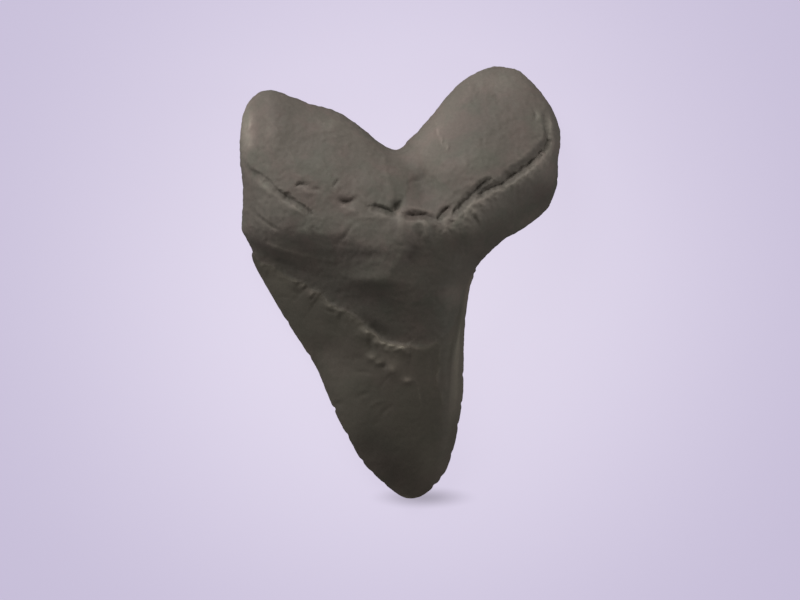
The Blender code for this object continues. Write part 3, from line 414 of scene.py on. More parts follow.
def thin_plate(spots):
    """The smoothest surface through spot heights, as a function of points."""
    spots = np.asarray(spots, float)
    where, heights = spots[:, :2], spots[:, 2]

    def columns(points):
        r2 = ((points[:, None] - where) ** 2).sum(2)
        return r2 * np.log(r2 + 1e-9) / 2

    plane = np.column_stack([np.ones(len(where)), where])
    matrix = np.block([[columns(where), plane], [plane.T, np.zeros((3, 3))]])
    weights = np.linalg.solve(matrix, np.concatenate([heights, np.zeros(3)]))

    def height(points):
        plane_there = np.column_stack([np.ones(len(points)), points])
        return columns(points) @ weights[:-3] + plane_there @ weights[-3:]

    return height


def lumps(points, shapes):
    """Sum of oval bells: each x, y, half length, half width, turn and height."""
    total = np.zeros(len(points))
    for x, y, length, width, turn, height in shapes:
        c, s = np.cos(np.radians(turn)), np.sin(np.radians(turn))
        dx, dy = points[:, 0] - x, points[:, 1] - y
        total += height * bell(dx * c + dy * s, length) * bell(dy * c - dx * s, width)
    return total


def inward_of(ring):
    """Unit normals of a clockwise ring, pointing into it."""
    way = np.roll(ring, -1, axis=0) - np.roll(ring, 1, axis=0)
    normal = np.column_stack([way[:, 1], -way[:, 0]])
    return normal / np.linalg.norm(normal, axis=1)[:, None]


def root_share(points):
    """0 on the crown and 1 on the root, changing across the foot of the bulge."""
    foot_x, foot_y = np.transpose(BULGE_FOOT)
    return smoothstep(-FOOT_WIDTH, FOOT_WIDTH, points[:, 1] - np.interp(points[:, 0], foot_x, foot_y))


def outline():
    """The tooth's outline, clockwise, with the chips and the worn roughness of its cutting edges."""
    line = smooth_line(RIGHT_LOBE + RIGHT_EDGE + LEFT_EDGE + LEFT_LOBE, OUTLINE_STEP, closed=True)
    inward = inward_of(line)
    for x, y, width, depth in EDGE_CHIPS:
        distance = np.linalg.norm(line - (x, y), axis=1)
        line = line + inward * (depth * bell(distance, width))[:, None]
    worn = np.abs(wander(line, *EDGE_ROUGHNESS))
    return line + inward * worn[:, None]


def inner_ring(line):
    """The ring where the rim ends: the outline moved in, and evened out so that it can't cross itself."""
    ring = line
    for _ in range(RIM_STEPS):
        ring = ring + inward_of(ring) * (RIM_REACH / RIM_STEPS)
        ring = ring / 2 + (np.roll(ring, 1, axis=0) + np.roll(ring, -1, axis=0)) / 4
    return ring


def rim_rings(line, count):
    """Rings from the outline in to the inner ring, closer together near the outline."""
    inner = inner_ring(line)
    return [line + (inner - line) * (k / count) ** 2 for k in range(1, count + 1)]


def rim_share(inset, reach, fullness=0.5):
    """0 at the outline and 1 from the reach inwards, upright at the outline and smooth at the reach."""
    return (1 - (1 - np.clip(inset / reach, 0, 1)) ** 3) ** fullness


def crown_share(points):
    """0 at the cutting edges and 1 on the crown's ridge, across the crown."""
    x, y = points.T

    def x_on(line):
        line = np.array(line, float)
        line = line[line[:, 1].argsort()]
        return np.interp(y, line[:, 1], line[:, 0])

    x_right, x_left, x_ridge = x_on(RIGHT_EDGE), x_on(LEFT_EDGE + RIGHT_EDGE[-1:]), x_on(CROWN_RIDGE)
    right_of_ridge = x > x_ridge
    across = np.where(right_of_ridge, (x_right - x) / np.maximum(x_right - x_ridge, 0.1),
                      (x - x_left) / np.maximum(x_ridge - x_left, 0.1))
    left = np.interp(y, [SHOULDER_FROM, SHOULDER_TO], [CROWN_FULLNESS_LEFT, CROWN_FULLNESS_SHOULDER])
    fullness = np.where(right_of_ridge, CROWN_FULLNESS_RIGHT, left)
    return 1 - (1 - np.clip(across, 0, 1)) ** fullness


def folds(points):
    """The folds: slits with sharp bottoms, between a wall towards the lobes and a slope to the lip."""
    total = np.zeros(len(points))
    for fold in FOLDS:
        near, apart, values = near_line(points, smooth_line(fold, FOLD_LINE_STEP), FOLD_FAR * FOLD_SLOPE)
        apart = apart + wander(points[near], *FOLD_WANDER)
        depth = values[:, 2] * (1 + wander(points[near], *FOLD_UNEVEN))
        width = np.where(apart < 0, values[:, 3], FOLD_SLOPE)
        curve = np.where(apart < 0, FOLD_WALL_CURVE, 1)
        total[near] = np.minimum(total[near], -depth * tent(apart, width) ** curve)
    return total


def lip(points):
    """The lip that stands proud beside the folds of the bulge, with its knobs."""
    total = np.zeros(len(points))
    near, apart, values = near_line(points, smooth_line(LIP, LIP_LINE_STEP), LIP_FAR)
    apart = apart + wander(points[near], *LIP_WANDER)
    width = np.where(apart < 0, LIP_INNER, values[:, 3])
    knobs = sum((wander(points[near], *knob) for knob in LIP_KNOBS), start=1)
    total[near] = values[:, 2] * bell(apart, width) * knobs
    return total


def grooves_and_ridges(points):
    total = np.zeros(len(points))
    for width, line in GROOVES:
        near, apart, values = near_line(points, smooth_line(line, FOLD_LINE_STEP), GROOVE_FAR * width)
        total[near] += values[:, 2] * bell(apart, width)
    return total


def enamel_apart(points):
    """Distance past the enamel's chipped upper edge, and the height of its step there."""
    apart, values = beside(points, smooth_line(ENAMEL_EDGE, ENAMEL_LINE_STEP))
    return apart + wander(points, *ENAMEL_CHIPS), values[:, 2]


def enamel_step(points):
    """The enamel's edge: a knobbly ridge on a low step that fades into the crown."""
    apart, height = enamel_apart(points)
    past = apart - ENAMEL_RIDGE_AT
    ridge = bell(past, np.where(past < 0, ENAMEL_UPPER, ENAMEL_LOWER))
    ridge = ridge * (ENAMEL_RIDGE_MEAN + wander(points, *ENAMEL_KNOBS))
    step = smoothstep(-ENAMEL_RISE, ENAMEL_RISE, apart) * bell(np.maximum(apart, 0), ENAMEL_FADE)
    return height * (ENAMEL_RIDGE_SHARE * ridge + ENAMEL_STEP_SHARE * step)


def stain_and_shade_depth(points):
    """How dark the stain and painted shade are: most of it past the root's shelf, and the rest past a line
    near the tip.
    """
    past_shelf, _ = beside(points, smooth_line(SHELF_EDGE, STAIN_LINE_STEP))
    past_tip, _ = beside(points, smooth_line(TIP_STAIN_AND_SHADE_EDGE, STAIN_LINE_STEP))
    depth = (1 - TIP_STAIN_AND_SHADE_SHARE) * smoothstep(-STAIN_AND_SHADE_EDGE, STAIN_AND_SHADE_EDGE, past_shelf)
    return depth + TIP_STAIN_AND_SHADE_SHARE * smoothstep(-TIP_STAIN_AND_SHADE_FADE, TIP_STAIN_AND_SHADE_FADE, past_tip)


def painted_light_and_wear_share(points):
    """How much paler or darker than its stone each point is painted: patches of painted highlight and
    shade, lip and enamel's edge by wear and painted highlight, the right edge by painted light, and the
    folds by painted shade.
    """
    apart, height = enamel_apart(points)
    # painted light on the strip along the right cutting edge
    past_edge, _ = beside(points, smooth_line(EDGE_LIGHT_LINE, STAIN_LINE_STEP))
    strip = smoothstep(EDGE_LIGHT_FADE, -EDGE_LIGHT_FADE, past_edge)
    strip = strip * smoothstep(*EDGE_LIGHT_ENDS, points[:, 1])
    strip = strip * smoothstep(-ENAMEL_BLEND, ENAMEL_BLEND, apart)
    # paler enamel ridge: partly wear, partly painted highlight
    ridge = height * bell(apart - ENAMEL_PALE_AT, ENAMEL_PALE_WIDTH)
    # lip and enamel's ridge paler by wear and painted highlight, and painted light along the right edge
    paler_by_wear_and_light = LIP_WEAR_AND_HIGHLIGHT * lip(points) + ENAMEL_WEAR_AND_HIGHLIGHT * ridge + EDGE_PAINTED_LIGHT * strip
    # painted shade darkens the folds
    fold_shade = FOLD_PAINTED_SHADE * smoothstep(0, FOLD_PAINTED_SHADE_DEPTH, -folds(points))
    return lumps(points, TONE_AND_PAINTED_LIGHT_PATCHES) + paler_by_wear_and_light - fold_shade


def rim_height(points):
    near_tip = smoothstep(TIP_FROM, TIP_TO, points[:, 1])
    on_root = RIM_HEIGHT_ROOT - RIM_HEIGHT_CROWN
    return RIM_HEIGHT_CROWN + on_root * root_share(points) - TIP_THINNING * near_tip


def lingual_height(points, inset, broad_form):
    """Height of the upper face, with its folds, lumps and chips."""
    share = root_share(points)
    rise = share * rim_share(inset, ROOT_RIM_TOP) + (1 - share) * crown_share(points)
    relief = folds(points) + lip(points) + grooves_and_ridges(points)
    relief = relief + enamel_step(points) + lumps(points, LUMPS)
    base = rim_height(points)
    return base + rise * (broad_form(points) - base) + relief * smoothstep(0, RELIEF_MARGIN, inset)


def labial_height(points, inset):
    """Height of the face underneath: flat on its pads, and a little hollow between them and at the neck."""
    pads = sum(bell(np.linalg.norm(points - (x, y), axis=1), r) for x, y, r in REST_PADS)
    apart, _ = beside(points, smooth_line(LABIAL_ENAMEL_EDGE, MESH_LINE_STEP))
    neck = smoothstep(LABIAL_WALL, -LABIAL_WALL, apart) * bell(np.minimum(apart, 0), LABIAL_NECK)
    full = LABIAL_LIFT * (1 - PAD_PRESS * pads) + LABIAL_STEP * neck + lumps(points, LABIAL_HOLLOWS)
    share = root_share(points)
    crown_rise = rim_share(inset, CROWN_RIM_UNDER, CROWN_FULLNESS_UNDER)
    rise = share * rim_share(inset, ROOT_RIM_UNDER) + (1 - share) * crown_rise
    return rim_height(points) * (1 - rise) + np.maximum(full, 0) * rise


# ---------------------------------------------------------------- fine mesh


def hexagon_grid(low, high, step):
    rows = np.arange(low[1], high[1], step * math.sqrt(3) / 2)
    columns = np.arange(low[0], high[0], step)
    shift = np.where(np.arange(len(rows)) % 2, step / 2, 0)
    return np.column_stack([(columns + shift[:, None]).ravel(), np.repeat(rows, len(columns))])


def plan(ring, step, fine_lines=()):
    """Triangles over the inside of a ring: its corners first, then a grid that is finer along the lines."""
    closed = np.vstack([ring, ring[0]])

    def inside(points):
        depth, _ = beside(points, closed)
        return points[depth > GRID_GAP * step]

    def fine_reach(points):
        nearest = np.full(len(points), np.inf)
        for line in fine_lines:
            near, apart, _ = near_line(points, line, 2 * FOLD_REACH)
            nearest[near] = np.minimum(nearest[near], np.abs(apart))
        return nearest

    coarse = hexagon_grid(ring.min(0), ring.max(0), step)
    parts = [ring, inside(coarse[fine_reach(coarse) > FOLD_REACH])]
    for line in fine_lines:
        low, high = line.min(0) - FOLD_REACH, line.max(0) + FOLD_REACH
        fine = hexagon_grid(np.floor(low / step) * step, high, STEP_FOLDS)
        own = np.abs(beside(fine, line)[0])
        kept = own <= FOLD_REACH - FINE_GAP * STEP_FOLDS
        for other in fine_lines:
            if other is not line:
                near, apart, _ = near_line(fine, other, 2 * FOLD_REACH)
                kept[near] &= own[near] <= np.abs(apart)
        parts.append(inside(fine[kept]))
    keep_inside, weld = 1, 1e-6
    corners = [Vector(point) for point in np.vstack(parts)]
    made = delaunay_2d_cdt(corners, [], [list(range(len(ring)))], keep_inside, weld)
    return np.array([tuple(v) for v in made[0]]), made[2]


def half(line, rings, flat, triangles, height):
    """One face of the tooth: vertices from the first ring inwards, and faces that count the outline too."""
    count = len(line)
    points = np.vstack([*rings[:-1], flat])
    step_on = [(i + 1) % count for i in range(count)]
    faces = [
        (k * count + i, (k + 1) * count + i, (k + 1) * count + step_on[i], k * count + step_on[i])
        for k in range(len(rings)) for i in range(count)
    ]
    faces += [tuple(len(rings) * count + i for i in triangle) for triangle in triangles]
    return np.column_stack([points, height(points, inset_from(points, line))]), faces


def bare_tooth():
    """The tooth's fine mesh before its surface relief, with the values that relief and finishes read."""
    line = outline()
    count = len(line)
    broad_form = thin_plate(LINGUAL_SPOTS)
    lined = [*FOLDS, ENAMEL_EDGE[:-4]]  # the last stretch of the enamel's edge is too low to need it
    fine_lines = [smooth_line(points, MESH_LINE_STEP)[:, :2] for points in lined]
    rings_above, rings_below = rim_rings(line, RINGS_ABOVE), rim_rings(line, RINGS_BELOW)
    above, above_faces = half(line, rings_above, *plan(rings_above[-1], STEP_ABOVE, fine_lines),
                              lambda points, inset: lingual_height(points, inset, broad_form))
    below, below_faces = half(line, rings_below, *plan(rings_below[-1], STEP_BELOW), labial_height)
    edge = np.column_stack([line, rim_height(line)])
    vertices = np.vstack([edge, above, below])
    skip = len(above)
    faces = above_faces
    faces += [tuple(i + skip if i >= count else i for i in reversed(face)) for face in below_faces]

    upper, lower = vertices[:count + skip, :2], vertices[count + skip:, :2]
    labial_apart, _ = beside(lower, smooth_line(LABIAL_ENAMEL_EDGE, MESH_LINE_STEP))
    apart = np.concatenate([enamel_apart(upper)[0], labial_apart])
    resting = 1 - smoothstep(0, RESTING_HEIGHT, vertices[len(upper):, 2])
    mesh = bpy.data.meshes.new("tooth fossil")
    mesh.from_pydata(vertices * MM, [], faces)
    for name, values in (
        ("enamel", smoothstep(-ENAMEL_BLEND, ENAMEL_BLEND, apart)),
        ("stain_and_shade", stain_and_shade_depth(vertices[:, :2])),
        # painted highlight and painted shade, with some wear and the stone's own tone
        ("worn", np.concatenate([painted_light_and_wear_share(upper), np.zeros(len(lower))])),
        ("resting", np.concatenate([np.zeros(len(upper)), resting])),
    ):
        made = mesh.attributes.new(name, "FLOAT", "POINT")
        made.data.foreach_set("value", values.astype(np.float32))
    mesh.shade_smooth()
    tooth = bpy.data.objects.new("tooth_fossil", mesh)
    bpy.context.scene.collection.objects.link(tooth)
    return tooth


# ---------------------------------------------------------------- node helpers

SOCKET_TYPES = {1: "Float", 3: "Vector", 4: "Color"}  # by how many numbers a value has


class Graph:
    """Adds nodes to a tree. An input is a number, a vector, a colour, a name or another node's socket."""

    def __init__(self, tree):
        self.tree = tree

    def add(self, kind, inputs=None, **settings):
        made = self.tree.nodes.new(kind)
        for name, value in settings.items():
            setattr(made, name, value)
        for key, value in (inputs or {}).items():
            self.feed(made.inputs[key], value)
        return made

    def feed(self, socket, value):
        if isinstance(value, bpy.types.NodeSocket):
            self.tree.links.new(value, socket)
        else:
            socket.default_value = value

    def math(self, operation, a, b=0.0):
        return self.add("ShaderNodeMath", {0: a, 1: b}, operation=operation).outputs[0]

    def vector(self, operation, a, b=(0, 0, 0), scale=1.0):
        made = self.add("ShaderNodeVectorMath", {0: a, 1: b, 3: scale}, operation=operation)
        return made.outputs["Value" if operation in ("LENGTH", "DOT_PRODUCT") else "Vector"]

    def ramp(self, value, low, high, to_low=0.0, to_high=1.0):
        inputs = {"Value": value, "From Min": low, "From Max": high, "To Min": to_low, "To Max": to_high}
        return self.add("ShaderNodeMapRange", inputs, interpolation_type="SMOOTHSTEP").outputs[0]

    def mix(self, share, a, b, blend="MIX"):
        made = self.add("ShaderNodeMix", data_type="RGBA", blend_type=blend)
        self.feed(made.inputs["Factor"], share)
        for name, value in (("A", a), ("B", b)):
            self.feed(next(s for s in made.inputs if s.name == name and s.type == "RGBA"), value)
        return next(s for s in made.outputs if s.type == "RGBA")

    def noise(self, where, scale, character, seed):
        detail, roughness, distortion = character
        inputs = {"Vector": where, "Scale": scale, "Detail": detail, "Roughness": roughness,
                  "Distortion": distortion, "W": seed}
        return self.add("ShaderNodeTexNoise", inputs, noise_dimensions="4D").outputs[0]


def new_group(name, kind, outputs, inputs):
    """A node group with its input and output nodes. Each socket is given a first value, or only a type."""
    group = bpy.data.node_groups.new(name, kind)
    for way, sockets in (("OUTPUT", outputs), ("INPUT", inputs)):
        for label, given in sockets.items():
            only_type = isinstance(given, str)
            socket_type = "NodeSocket" + (given if only_type else SOCKET_TYPES[np.size(given)])
            made = group.interface.new_socket(label, in_out=way, socket_type=socket_type)
            if not only_type:
                made.default_value = given
    graph = Graph(group)
    return graph, graph.add("NodeGroupInput").outputs, graph.add("NodeGroupOutput").inputs


# ---------------------------------------------------------------- looks

RELIEF_SIZES = {
    "Seed": 4.0, "Swell Height": 0.0008, "Swell Size": 0.007, "Grain Height": 0.00012,
    "Grain Size": 0.0016, "Pore Depth": 0.00035, "Pore Size": 0.0022, "Growth Line Height": 0.00008,
    "Growth Line Width": 0.0009, "Dent Height": 0.0008, "Dent Size": 0.0032, "Hollow Depth": 0.0007,
}
ROOT_LOOK = {
    "stain_and_shade": {"Body": (0.169, 0.148, 0.125, 1), "Warm": (0.188, 0.151, 0.131, 1),
              "Cool": (0.148, 0.141, 0.115, 1), "Patch Scale": 100.0, "Patch Amount": 0.8,
              "Fleck Scale": 900.0, "Fleck Amount": 0.12, "Stain Tint": (0.305, 0.31, 0.282, 1)},
    # Dark darkens hollows as painted shade; the next value pales proud edges, partly wear and partly
    # painted highlight
    "shade_and_wear": {"Roughness": 0.66, "Dark": 0.36, "Rubbed And Highlight": 0.3},
    "grain": {"Grain Scale": 1500.0, "Streak": (1.0, 1.0, 1.0)},
    "bump": {"Strength": 0.35, "Distance": 0.00008}, "gloss": 0.22,
}
CROWN_LOOK = {
    "stain_and_shade": {"Body": (0.114, 0.103, 0.081, 1), "Warm": (0.125, 0.107, 0.087, 1),
              "Cool": (0.101, 0.096, 0.074, 1), "Patch Scale": 55.0, "Patch Amount": 0.8,
              "Fleck Scale": 1200.0, "Fleck Amount": 0.1, "Stain Tint": (0.72, 0.69, 0.71, 1)},
    # as for the root: painted shade in hollows, and proud edges paler by wear and painted highlight
    "shade_and_wear": {"Roughness": 0.58, "Dark": 0.3, "Rubbed And Highlight": 0.7},
    "grain": {"Grain Scale": 1800.0, "Streak": (1.0, 0.15, 1.0)},
    "bump": {"Strength": 0.2, "Distance": 0.00005}, "gloss": 0.12,
}

# Characters of the noises: detail, roughness and distortion.
SWELL_NOISE, DENT_NOISE, GRAIN_NOISE, LINE_NOISE = (4, 0.6, 0.4), (2, 0.5, 1.2), (4, 0.6, 0), (2, 0.5, 0)
PATCH_NOISE, FLECK_NOISE, FINE_NOISE, BROAD_NOISE = (4, 0.55, 0.6), (3, 0.7, 0), (5, 0.65, 0), (3, 0.5, 0)

ENAMEL_CALM = 0.5  # share of the swells and dents that is left on the enamel
SWELL_CALM, GRAIN_CALM = (0, 0.5, 1, 0.6), (0, 0.6, 1, 0.4)  # stain and painted shade from and to, and the shares left
PORE_EDGE = 0.32  # how far a pore reaches into its cell
POROUS_SCALE, POROUS_FROM, POROUS_TO = 150.0, 0.52, 0.66  # where the root is porous
GROWTH_STRETCH = (1.0, 0.06, 1.0)
HOLLOW_BLUR = 16  # rounds of smoothing for the surface that hollows are measured from
WARM_PATCHES, COOL_PATCHES = (0.42, 0.66), (0.46, 0.7)  # noise from and to
FLECKS = (0.3, 0.7, 0.55, 1.45)  # noise from and to, and the shades there
HOLLOW_SHADE_DEPTHS, RUBBED_AND_HIGHLIGHT_HEIGHTS = (0.05, 1.0), (-0.08, -0.8)  # hollows darkened as painted shade, proud edges paler by wear and painted highlight: how far sunk or proud, from and to
HOLLOW_ROUGHER, RUBBED_SMOOTHER = 0.25, 0.1
BROAD_SCALE = 0.3  # scale of the broader grain, as a share of the fine one's


def surface_relief_tree():
    """Swells, grain, pores and growth lines along the normals, then the finishes of root and crown."""
    shape, finishes = {"Geometry": "Geometry"}, {"Root Finish": "Material", "Crown Finish": "Material"}
    inputs = shape | RELIEF_SIZES | finishes
    g, given, result = new_group("fossil surface relief", "GeometryNodeTree", shape, inputs)

    def stored(name):
        return g.add("GeometryNodeInputNamedAttribute", {"Name": name}).outputs["Attribute"]

    def uneven(at, size, character, height):
        """Noise up and down, of the group's size and height."""
        value = g.noise(at, g.math("DIVIDE", 1.0, given[size]), character, given["Seed"])
        return g.math("MULTIPLY", g.math("SUBTRACT", value, 0.5), given[height])

    where = g.add("GeometryNodeInputPosition").outputs[0]
    normal = g.add("GeometryNodeInputNormal").outputs[0]
    enamel, resting, stain_and_shade = stored("enamel"), stored("resting"), stored("stain_and_shade")

    calm = g.ramp(enamel, 0.0, 1.0, 1.0, ENAMEL_CALM)
    swell = g.math("MULTIPLY", uneven(where, "Swell Size", SWELL_NOISE, "Swell Height"), calm)
    dent = g.math("MULTIPLY", uneven(where, "Dent Size", DENT_NOISE, "Dent Height"), calm)
    swell = g.math("MULTIPLY", g.math("ADD", swell, dent), g.ramp(stain_and_shade, *SWELL_CALM))
    grain = uneven(where, "Grain Size", GRAIN_NOISE, "Grain Height")
    grain = g.math("MULTIPLY", grain, g.ramp(stain_and_shade, *GRAIN_CALM))
    cell = {"Vector": where, "Scale": g.math("DIVIDE", 1.0, given["Pore Size"]), "W": given["Seed"]}
    cells = g.add("ShaderNodeTexVoronoi", cell, voronoi_dimensions="4D").outputs["Distance"]
    porous = g.ramp(g.noise(where, POROUS_SCALE, LINE_NOISE, given["Seed"]), POROUS_FROM, POROUS_TO)
    pore = g.math("MULTIPLY", g.ramp(cells, 0.0, PORE_EDGE, 1.0, 0.0), porous)
    root = g.math("SUBTRACT", 1.0, enamel)
    pore = g.math("MULTIPLY", pore, g.math("MULTIPLY", root, given["Pore Depth"]))
    along = g.vector("MULTIPLY", where, GROWTH_STRETCH)
    lines = uneven(along, "Growth Line Width", LINE_NOISE, "Growth Line Height")
    lines = g.math("MULTIPLY", lines, enamel)
    height = g.math("ADD", g.math("ADD", swell, grain), g.math("SUBTRACT", lines, pore))
    height = g.math("MULTIPLY", height, g.math("SUBTRACT", 1.0, resting))
    offset = g.vector("SCALE", normal, scale=height)
    moved = g.add("GeometryNodeSetPosition", {"Geometry": given["Geometry"], "Offset": offset}).outputs[0]

    blurred = g.add("GeometryNodeBlurAttribute", {"Value": where, "Iterations": HOLLOW_BLUR},
                    data_type="FLOAT_VECTOR").outputs[0]
    sunk = g.vector("DOT_PRODUCT", g.vector("SUBTRACT", blurred, where), normal)
    hollow = g.math("DIVIDE", sunk, given["Hollow Depth"])
    kept = {"Geometry": moved, "Name": "hollow", "Value": hollow}
    kept = g.add("GeometryNodeStoreNamedAttribute", kept, data_type="FLOAT", domain="POINT").outputs[0]
    whole = g.add("GeometryNodeRealizeInstances", {"Geometry": kept}).outputs[0]
    on_crown = g.add("FunctionNodeCompare", {0: enamel, 1: 0.5}, data_type="FLOAT",
                     operation="GREATER_THAN").outputs[0]
    finish = {"Geometry": whole, "Material": given["Root Finish"]}
    finish = {"Geometry": g.add("GeometryNodeSetMaterial", finish).outputs[0],
              "Selection": on_crown, "Material": given["Crown Finish"]}
    g.feed(result["Geometry"], g.add("GeometryNodeSetMaterial", finish).outputs[0])
    return g.tree


def give_relief(tooth, finishes):
    """Makes the surface relief, and leaves a plain mesh."""
    tree = surface_relief_tree()
    modifier = tooth.modifiers.new("relief", "NODES")
    modifier.node_group = tree
    values = RELIEF_SIZES | finishes
    for item in tree.interface.items_tree:
        if item.item_type == "SOCKET" and item.name in values:
            modifier[item.identifier] = values[item.name]
    bpy.context.view_layer.update()
    evaluated = tooth.evaluated_get(bpy.context.evaluated_depsgraph_get())
    mesh = bpy.data.meshes.new_from_object(evaluated)
    tooth.modifiers.remove(modifier)
    bare, tooth.data = tooth.data, mesh
    bpy.data.meshes.remove(bare)
    mesh.name = "tooth_fossil"


def stained_stone_group():
    """Colour of mineral-stained fossil: soft patches between three tints, and fine flecks."""
    inputs = {"Position": "Vector", "Stain And Shade": 0.0, **ROOT_LOOK["stain_and_shade"]}
    g, given, result = new_group("stained stone", "ShaderNodeTree", {"Color": "Color"}, inputs)
    where = given["Position"]
    colour = given["Body"]
    for tint, patches, seed in (("Warm", WARM_PATCHES, 1.0), ("Cool", COOL_PATCHES, 7.0)):
        patch = g.ramp(g.noise(where, given["Patch Scale"], PATCH_NOISE, seed), *patches)
        colour = g.mix(g.math("MULTIPLY", patch, given["Patch Amount"]), colour, given[tint])
    fleck = g.ramp(g.noise(where, given["Fleck Scale"], FLECK_NOISE, 2.0), *FLECKS)
    fleck = g.math("MULTIPLY", g.math("SUBTRACT", fleck, 1.0), given["Fleck Amount"])
    # darker towards the tint by the share of stain and painted shade
    colour = g.mix(1.0, colour, g.mix(given["Stain And Shade"], (1, 1, 1, 1), given["Stain Tint"]), "MULTIPLY")
    g.feed(result["Color"], g.vector("SCALE", colour, scale=g.math("ADD", 1.0, fleck)))
    return g.tree


def shade_highlight_and_wear_group():
    """Shade painted by height: hollows are darkened as painted shade, and edges that stand proud are paler,
    partly rubbed wear and partly painted highlight.
    """
    inputs = {"Color": "Color", "Hollow": 0.0, "Painted Light And Wear": 0.0, **ROOT_LOOK["shade_and_wear"]}
    outputs = {"Color": "Color", "Roughness": "Float"}
    g, given, result = new_group("painted shade, highlight and wear", "ShaderNodeTree", outputs, inputs)
    # painted shade in the hollows, and proud edges paler by wear and painted highlight
    deep = g.math("MULTIPLY", g.ramp(given["Hollow"], *HOLLOW_SHADE_DEPTHS), given["Dark"])
    proud = g.math("MULTIPLY", g.ramp(given["Hollow"], *RUBBED_AND_HIGHLIGHT_HEIGHTS), given["Rubbed And Highlight"])
    shade = g.math("MULTIPLY", g.math("SUBTRACT", 1.0, deep), g.math("ADD", 1.0, proud))
    shade = g.math("MULTIPLY", shade, g.math("ADD", 1.0, given["Painted Light And Wear"]))
    g.feed(result["Color"], g.vector("SCALE", given["Color"], scale=shade))
    rough = g.math("ADD", given["Roughness"], g.math("MULTIPLY", deep, HOLLOW_ROUGHER))
    g.feed(result["Roughness"], g.math("SUBTRACT", rough, g.math("MULTIPLY", proud, RUBBED_SMOOTHER)))
    return g.tree


def fine_grain_group():
    """Height of the finest grain, for a bump: fine noise over a broader one, drawn out by the streak."""
    inputs = {"Position": "Vector", **ROOT_LOOK["grain"]}
    g, given, result = new_group("fine grain", "ShaderNodeTree", {"Height": "Float"}, inputs)
    where = g.vector("MULTIPLY", given["Position"], given["Streak"])
    fine = g.noise(where, given["Grain Scale"], FINE_NOISE, 4.0)
    broad = g.noise(where, g.math("MULTIPLY", given["Grain Scale"], BROAD_SCALE), BROAD_NOISE, 9.0)
    g.feed(result["Height"], g.math("ADD", fine, broad))
    return g.tree


def fossil_finish(name, look, stone, shade_and_wear, fine_grain):
    """A finish of the fossil: stained stone, worn by handling, with painted shade and highlight and fine
    grain.
    """
    material = bpy.data.materials.new(name)
    material.use_nodes = True
    g = Graph(material.node_tree)
    where = g.add("ShaderNodeTexCoord").outputs["Object"]

    def group(tree, inputs):
        return g.add("ShaderNodeGroup", inputs, node_tree=tree).outputs

    def stored(attribute):
        return g.add("ShaderNodeAttribute", attribute_name=attribute).outputs["Fac"]

    stained = group(stone, {"Position": where, "Stain And Shade": stored("stain_and_shade"), **look["stain_and_shade"]})
    # the worn attribute brings painted highlight and painted shade, with some wear
    worn = group(shade_and_wear, {"Color": stained["Color"], "Hollow": stored("hollow"), "Painted Light And Wear": stored("worn"),
                        **look["shade_and_wear"]})
    grain = group(fine_grain, {"Position": where, **look["grain"]})
    bump = g.add("ShaderNodeBump", {"Height": grain["Height"], **look["bump"]})
    shader = material.node_tree.nodes["Principled BSDF"]
    g.feed(shader.inputs["Base Color"], worn["Color"])
    g.feed(shader.inputs["Roughness"], worn["Roughness"])
    g.feed(shader.inputs["Normal"], bump.outputs["Normal"])
    shader.inputs["Specular IOR Level"].default_value = look["gloss"]
    return material


def dressed_tooth():
    groups = stained_stone_group(), shade_highlight_and_wear_group(), fine_grain_group()
    tooth = bare_tooth()
    give_relief(tooth, {"Root Finish": fossil_finish("root bone", ROOT_LOOK, *groups),
                        "Crown Finish": fossil_finish("crown enamel", CROWN_LOOK, *groups)})
    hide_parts("tooth")
    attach(tooth, "root")


# ---------------------------------------------------------------- floor, light and camera

FLOOR_SIZE = 3.0
FLOOR_COLOUR, FLOOR_ROUGHNESS = (0.08, 0.075, 0.085, 1), 0.9
# The glow is brighter in the middle than at the corners: a painted pool of light.
GLOW_MIDDLE, GLOW_CORNER = (0.868, 0.803, 0.965, 1), (0.61, 0.551, 0.746, 1)
GLOW_STRENGTH, GLOW_REACH = 0.85, 0.17
GLOW_ON_TOOTH = 0.07  # how much of the floor's glow reaches the tooth
# The shadow painted on the floor under the tip: its middle, one over its half length and half width, and
# its strength.
TIP_SHADE_AT, TIP_SHADE_STRETCH, TIP_SHADE = (0.0075, -0.0702, 0.0), (1 / 0.019, 1 / 0.0042, 1.0), 0.42
LIGHTS = {  # compass bearing from +Y towards +X, elevation, distance, size, power
    "key": (-24, 28, 0.9, (0.5, 0.35), 5.3),
    "left": (-95, 18, 0.9, (0.4, 0.3), 2.0),
    "right": (100, 20, 0.9, (0.4, 0.3), 2.4),
}
AMBIENT, AMBIENT_STRENGTH = (0.8, 0.79, 0.78, 1), 0.17
LENS, SENSOR = 400.0, 36.0
RIM_LEVEL = 0.006
VIEW_HEIGHT, VIEW_CENTRE = 0.1949, (0.0, -0.0059)  # the picture's height and middle at the rim's level
PICTURE_WIDTH, PICTURE_HEIGHT = 800, 600


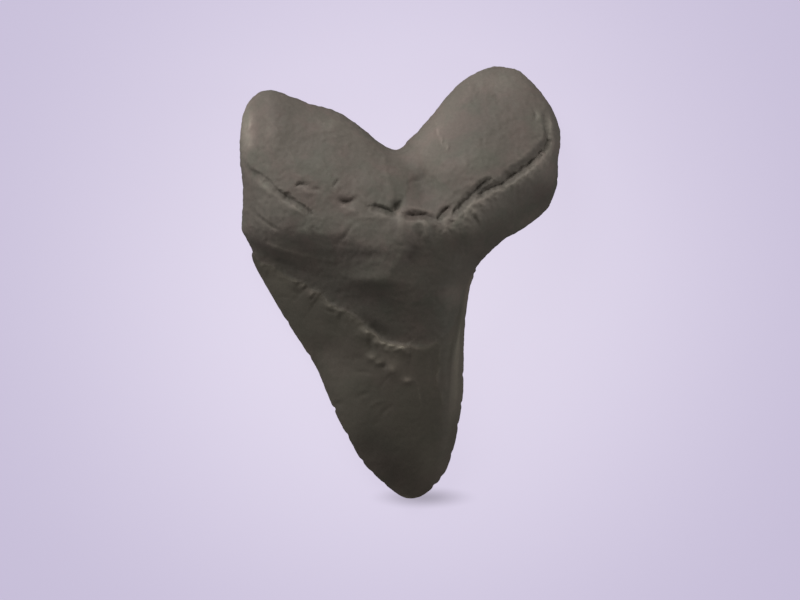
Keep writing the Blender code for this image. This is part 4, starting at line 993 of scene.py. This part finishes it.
def glowing_floor():
    """A pale floor that glows, so that shadows on it stay faint, with a painted pool of light in its middle
    and a painted shadow under the tip.
    """
    mesh = bpy.data.meshes.new("floor")
    s = FLOOR_SIZE / 2
    mesh.from_pydata([(-s, -s, 0), (s, -s, 0), (s, s, 0), (-s, s, 0)], [], [(0, 1, 2, 3)])
    floor = bpy.data.objects.new("floor", mesh)
    bpy.context.scene.collection.objects.link(floor)
    material = bpy.data.materials.new("pale floor")
    material.use_nodes = True
    g = Graph(material.node_tree)
    where = g.add("ShaderNodeTexCoord").outputs["Object"]
    glow = g.mix(g.ramp(g.vector("LENGTH", where), 0.0, GLOW_REACH), GLOW_MIDDLE, GLOW_CORNER)
    # painted shadow under the tip
    from_tip = g.vector("MULTIPLY", g.vector("SUBTRACT", where, TIP_SHADE_AT), TIP_SHADE_STRETCH)
    shade = g.ramp(g.vector("LENGTH", from_tip), 0.0, 1.0, 1 - TIP_SHADE, 1.0)
    seen = g.add("ShaderNodeLightPath").outputs["Is Camera Ray"]
    strength = g.ramp(seen, 0.0, 1.0, GLOW_STRENGTH * GLOW_ON_TOOTH, GLOW_STRENGTH)
    shader = material.node_tree.nodes["Principled BSDF"]
    g.feed(shader.inputs["Emission Color"], g.vector("MULTIPLY", glow, shade))
    g.feed(shader.inputs["Emission Strength"], strength)
    shader.inputs["Base Color"].default_value = FLOOR_COLOUR
    shader.inputs["Roughness"].default_value = FLOOR_ROUGHNESS
    mesh.materials.append(material)


def soft_lights():
    for name, (bearing, elevation, distance, size, power) in LIGHTS.items():
        light = bpy.data.lights.new(name, "AREA")
        light.shape = "RECTANGLE"
        light.size, light.size_y = size
        light.energy = power
        lamp = bpy.data.objects.new(name, light)
        bpy.context.scene.collection.objects.link(lamp)
        b, e = math.radians(bearing), math.radians(elevation)
        way = Vector((math.cos(e) * math.sin(b), math.cos(e) * math.cos(b), math.sin(e)))
        lamp.location = distance * way
        lamp.rotation_euler = (-lamp.location).to_track_quat("-Z", "Y").to_euler()
    world = bpy.data.worlds.new("studio")
    world.use_nodes = True
    background = world.node_tree.nodes["Background"]
    background.inputs["Color"].default_value = AMBIENT
    background.inputs["Strength"].default_value = AMBIENT_STRENGTH
    bpy.context.scene.world = world
    bpy.context.scene.view_settings.view_transform = "Standard"


def overhead_camera():
    camera = bpy.data.cameras.new("overhead")
    camera.lens, camera.sensor_width = LENS, SENSOR
    holder = bpy.data.objects.new("overhead", camera)
    bpy.context.scene.collection.objects.link(holder)
    view_width = VIEW_HEIGHT * PICTURE_WIDTH / PICTURE_HEIGHT
    holder.location = (*VIEW_CENTRE, RIM_LEVEL + view_width * LENS / SENSOR)
    bpy.context.scene.camera = holder


dressed_tooth()
glowing_floor()
soft_lights()
overhead_camera()
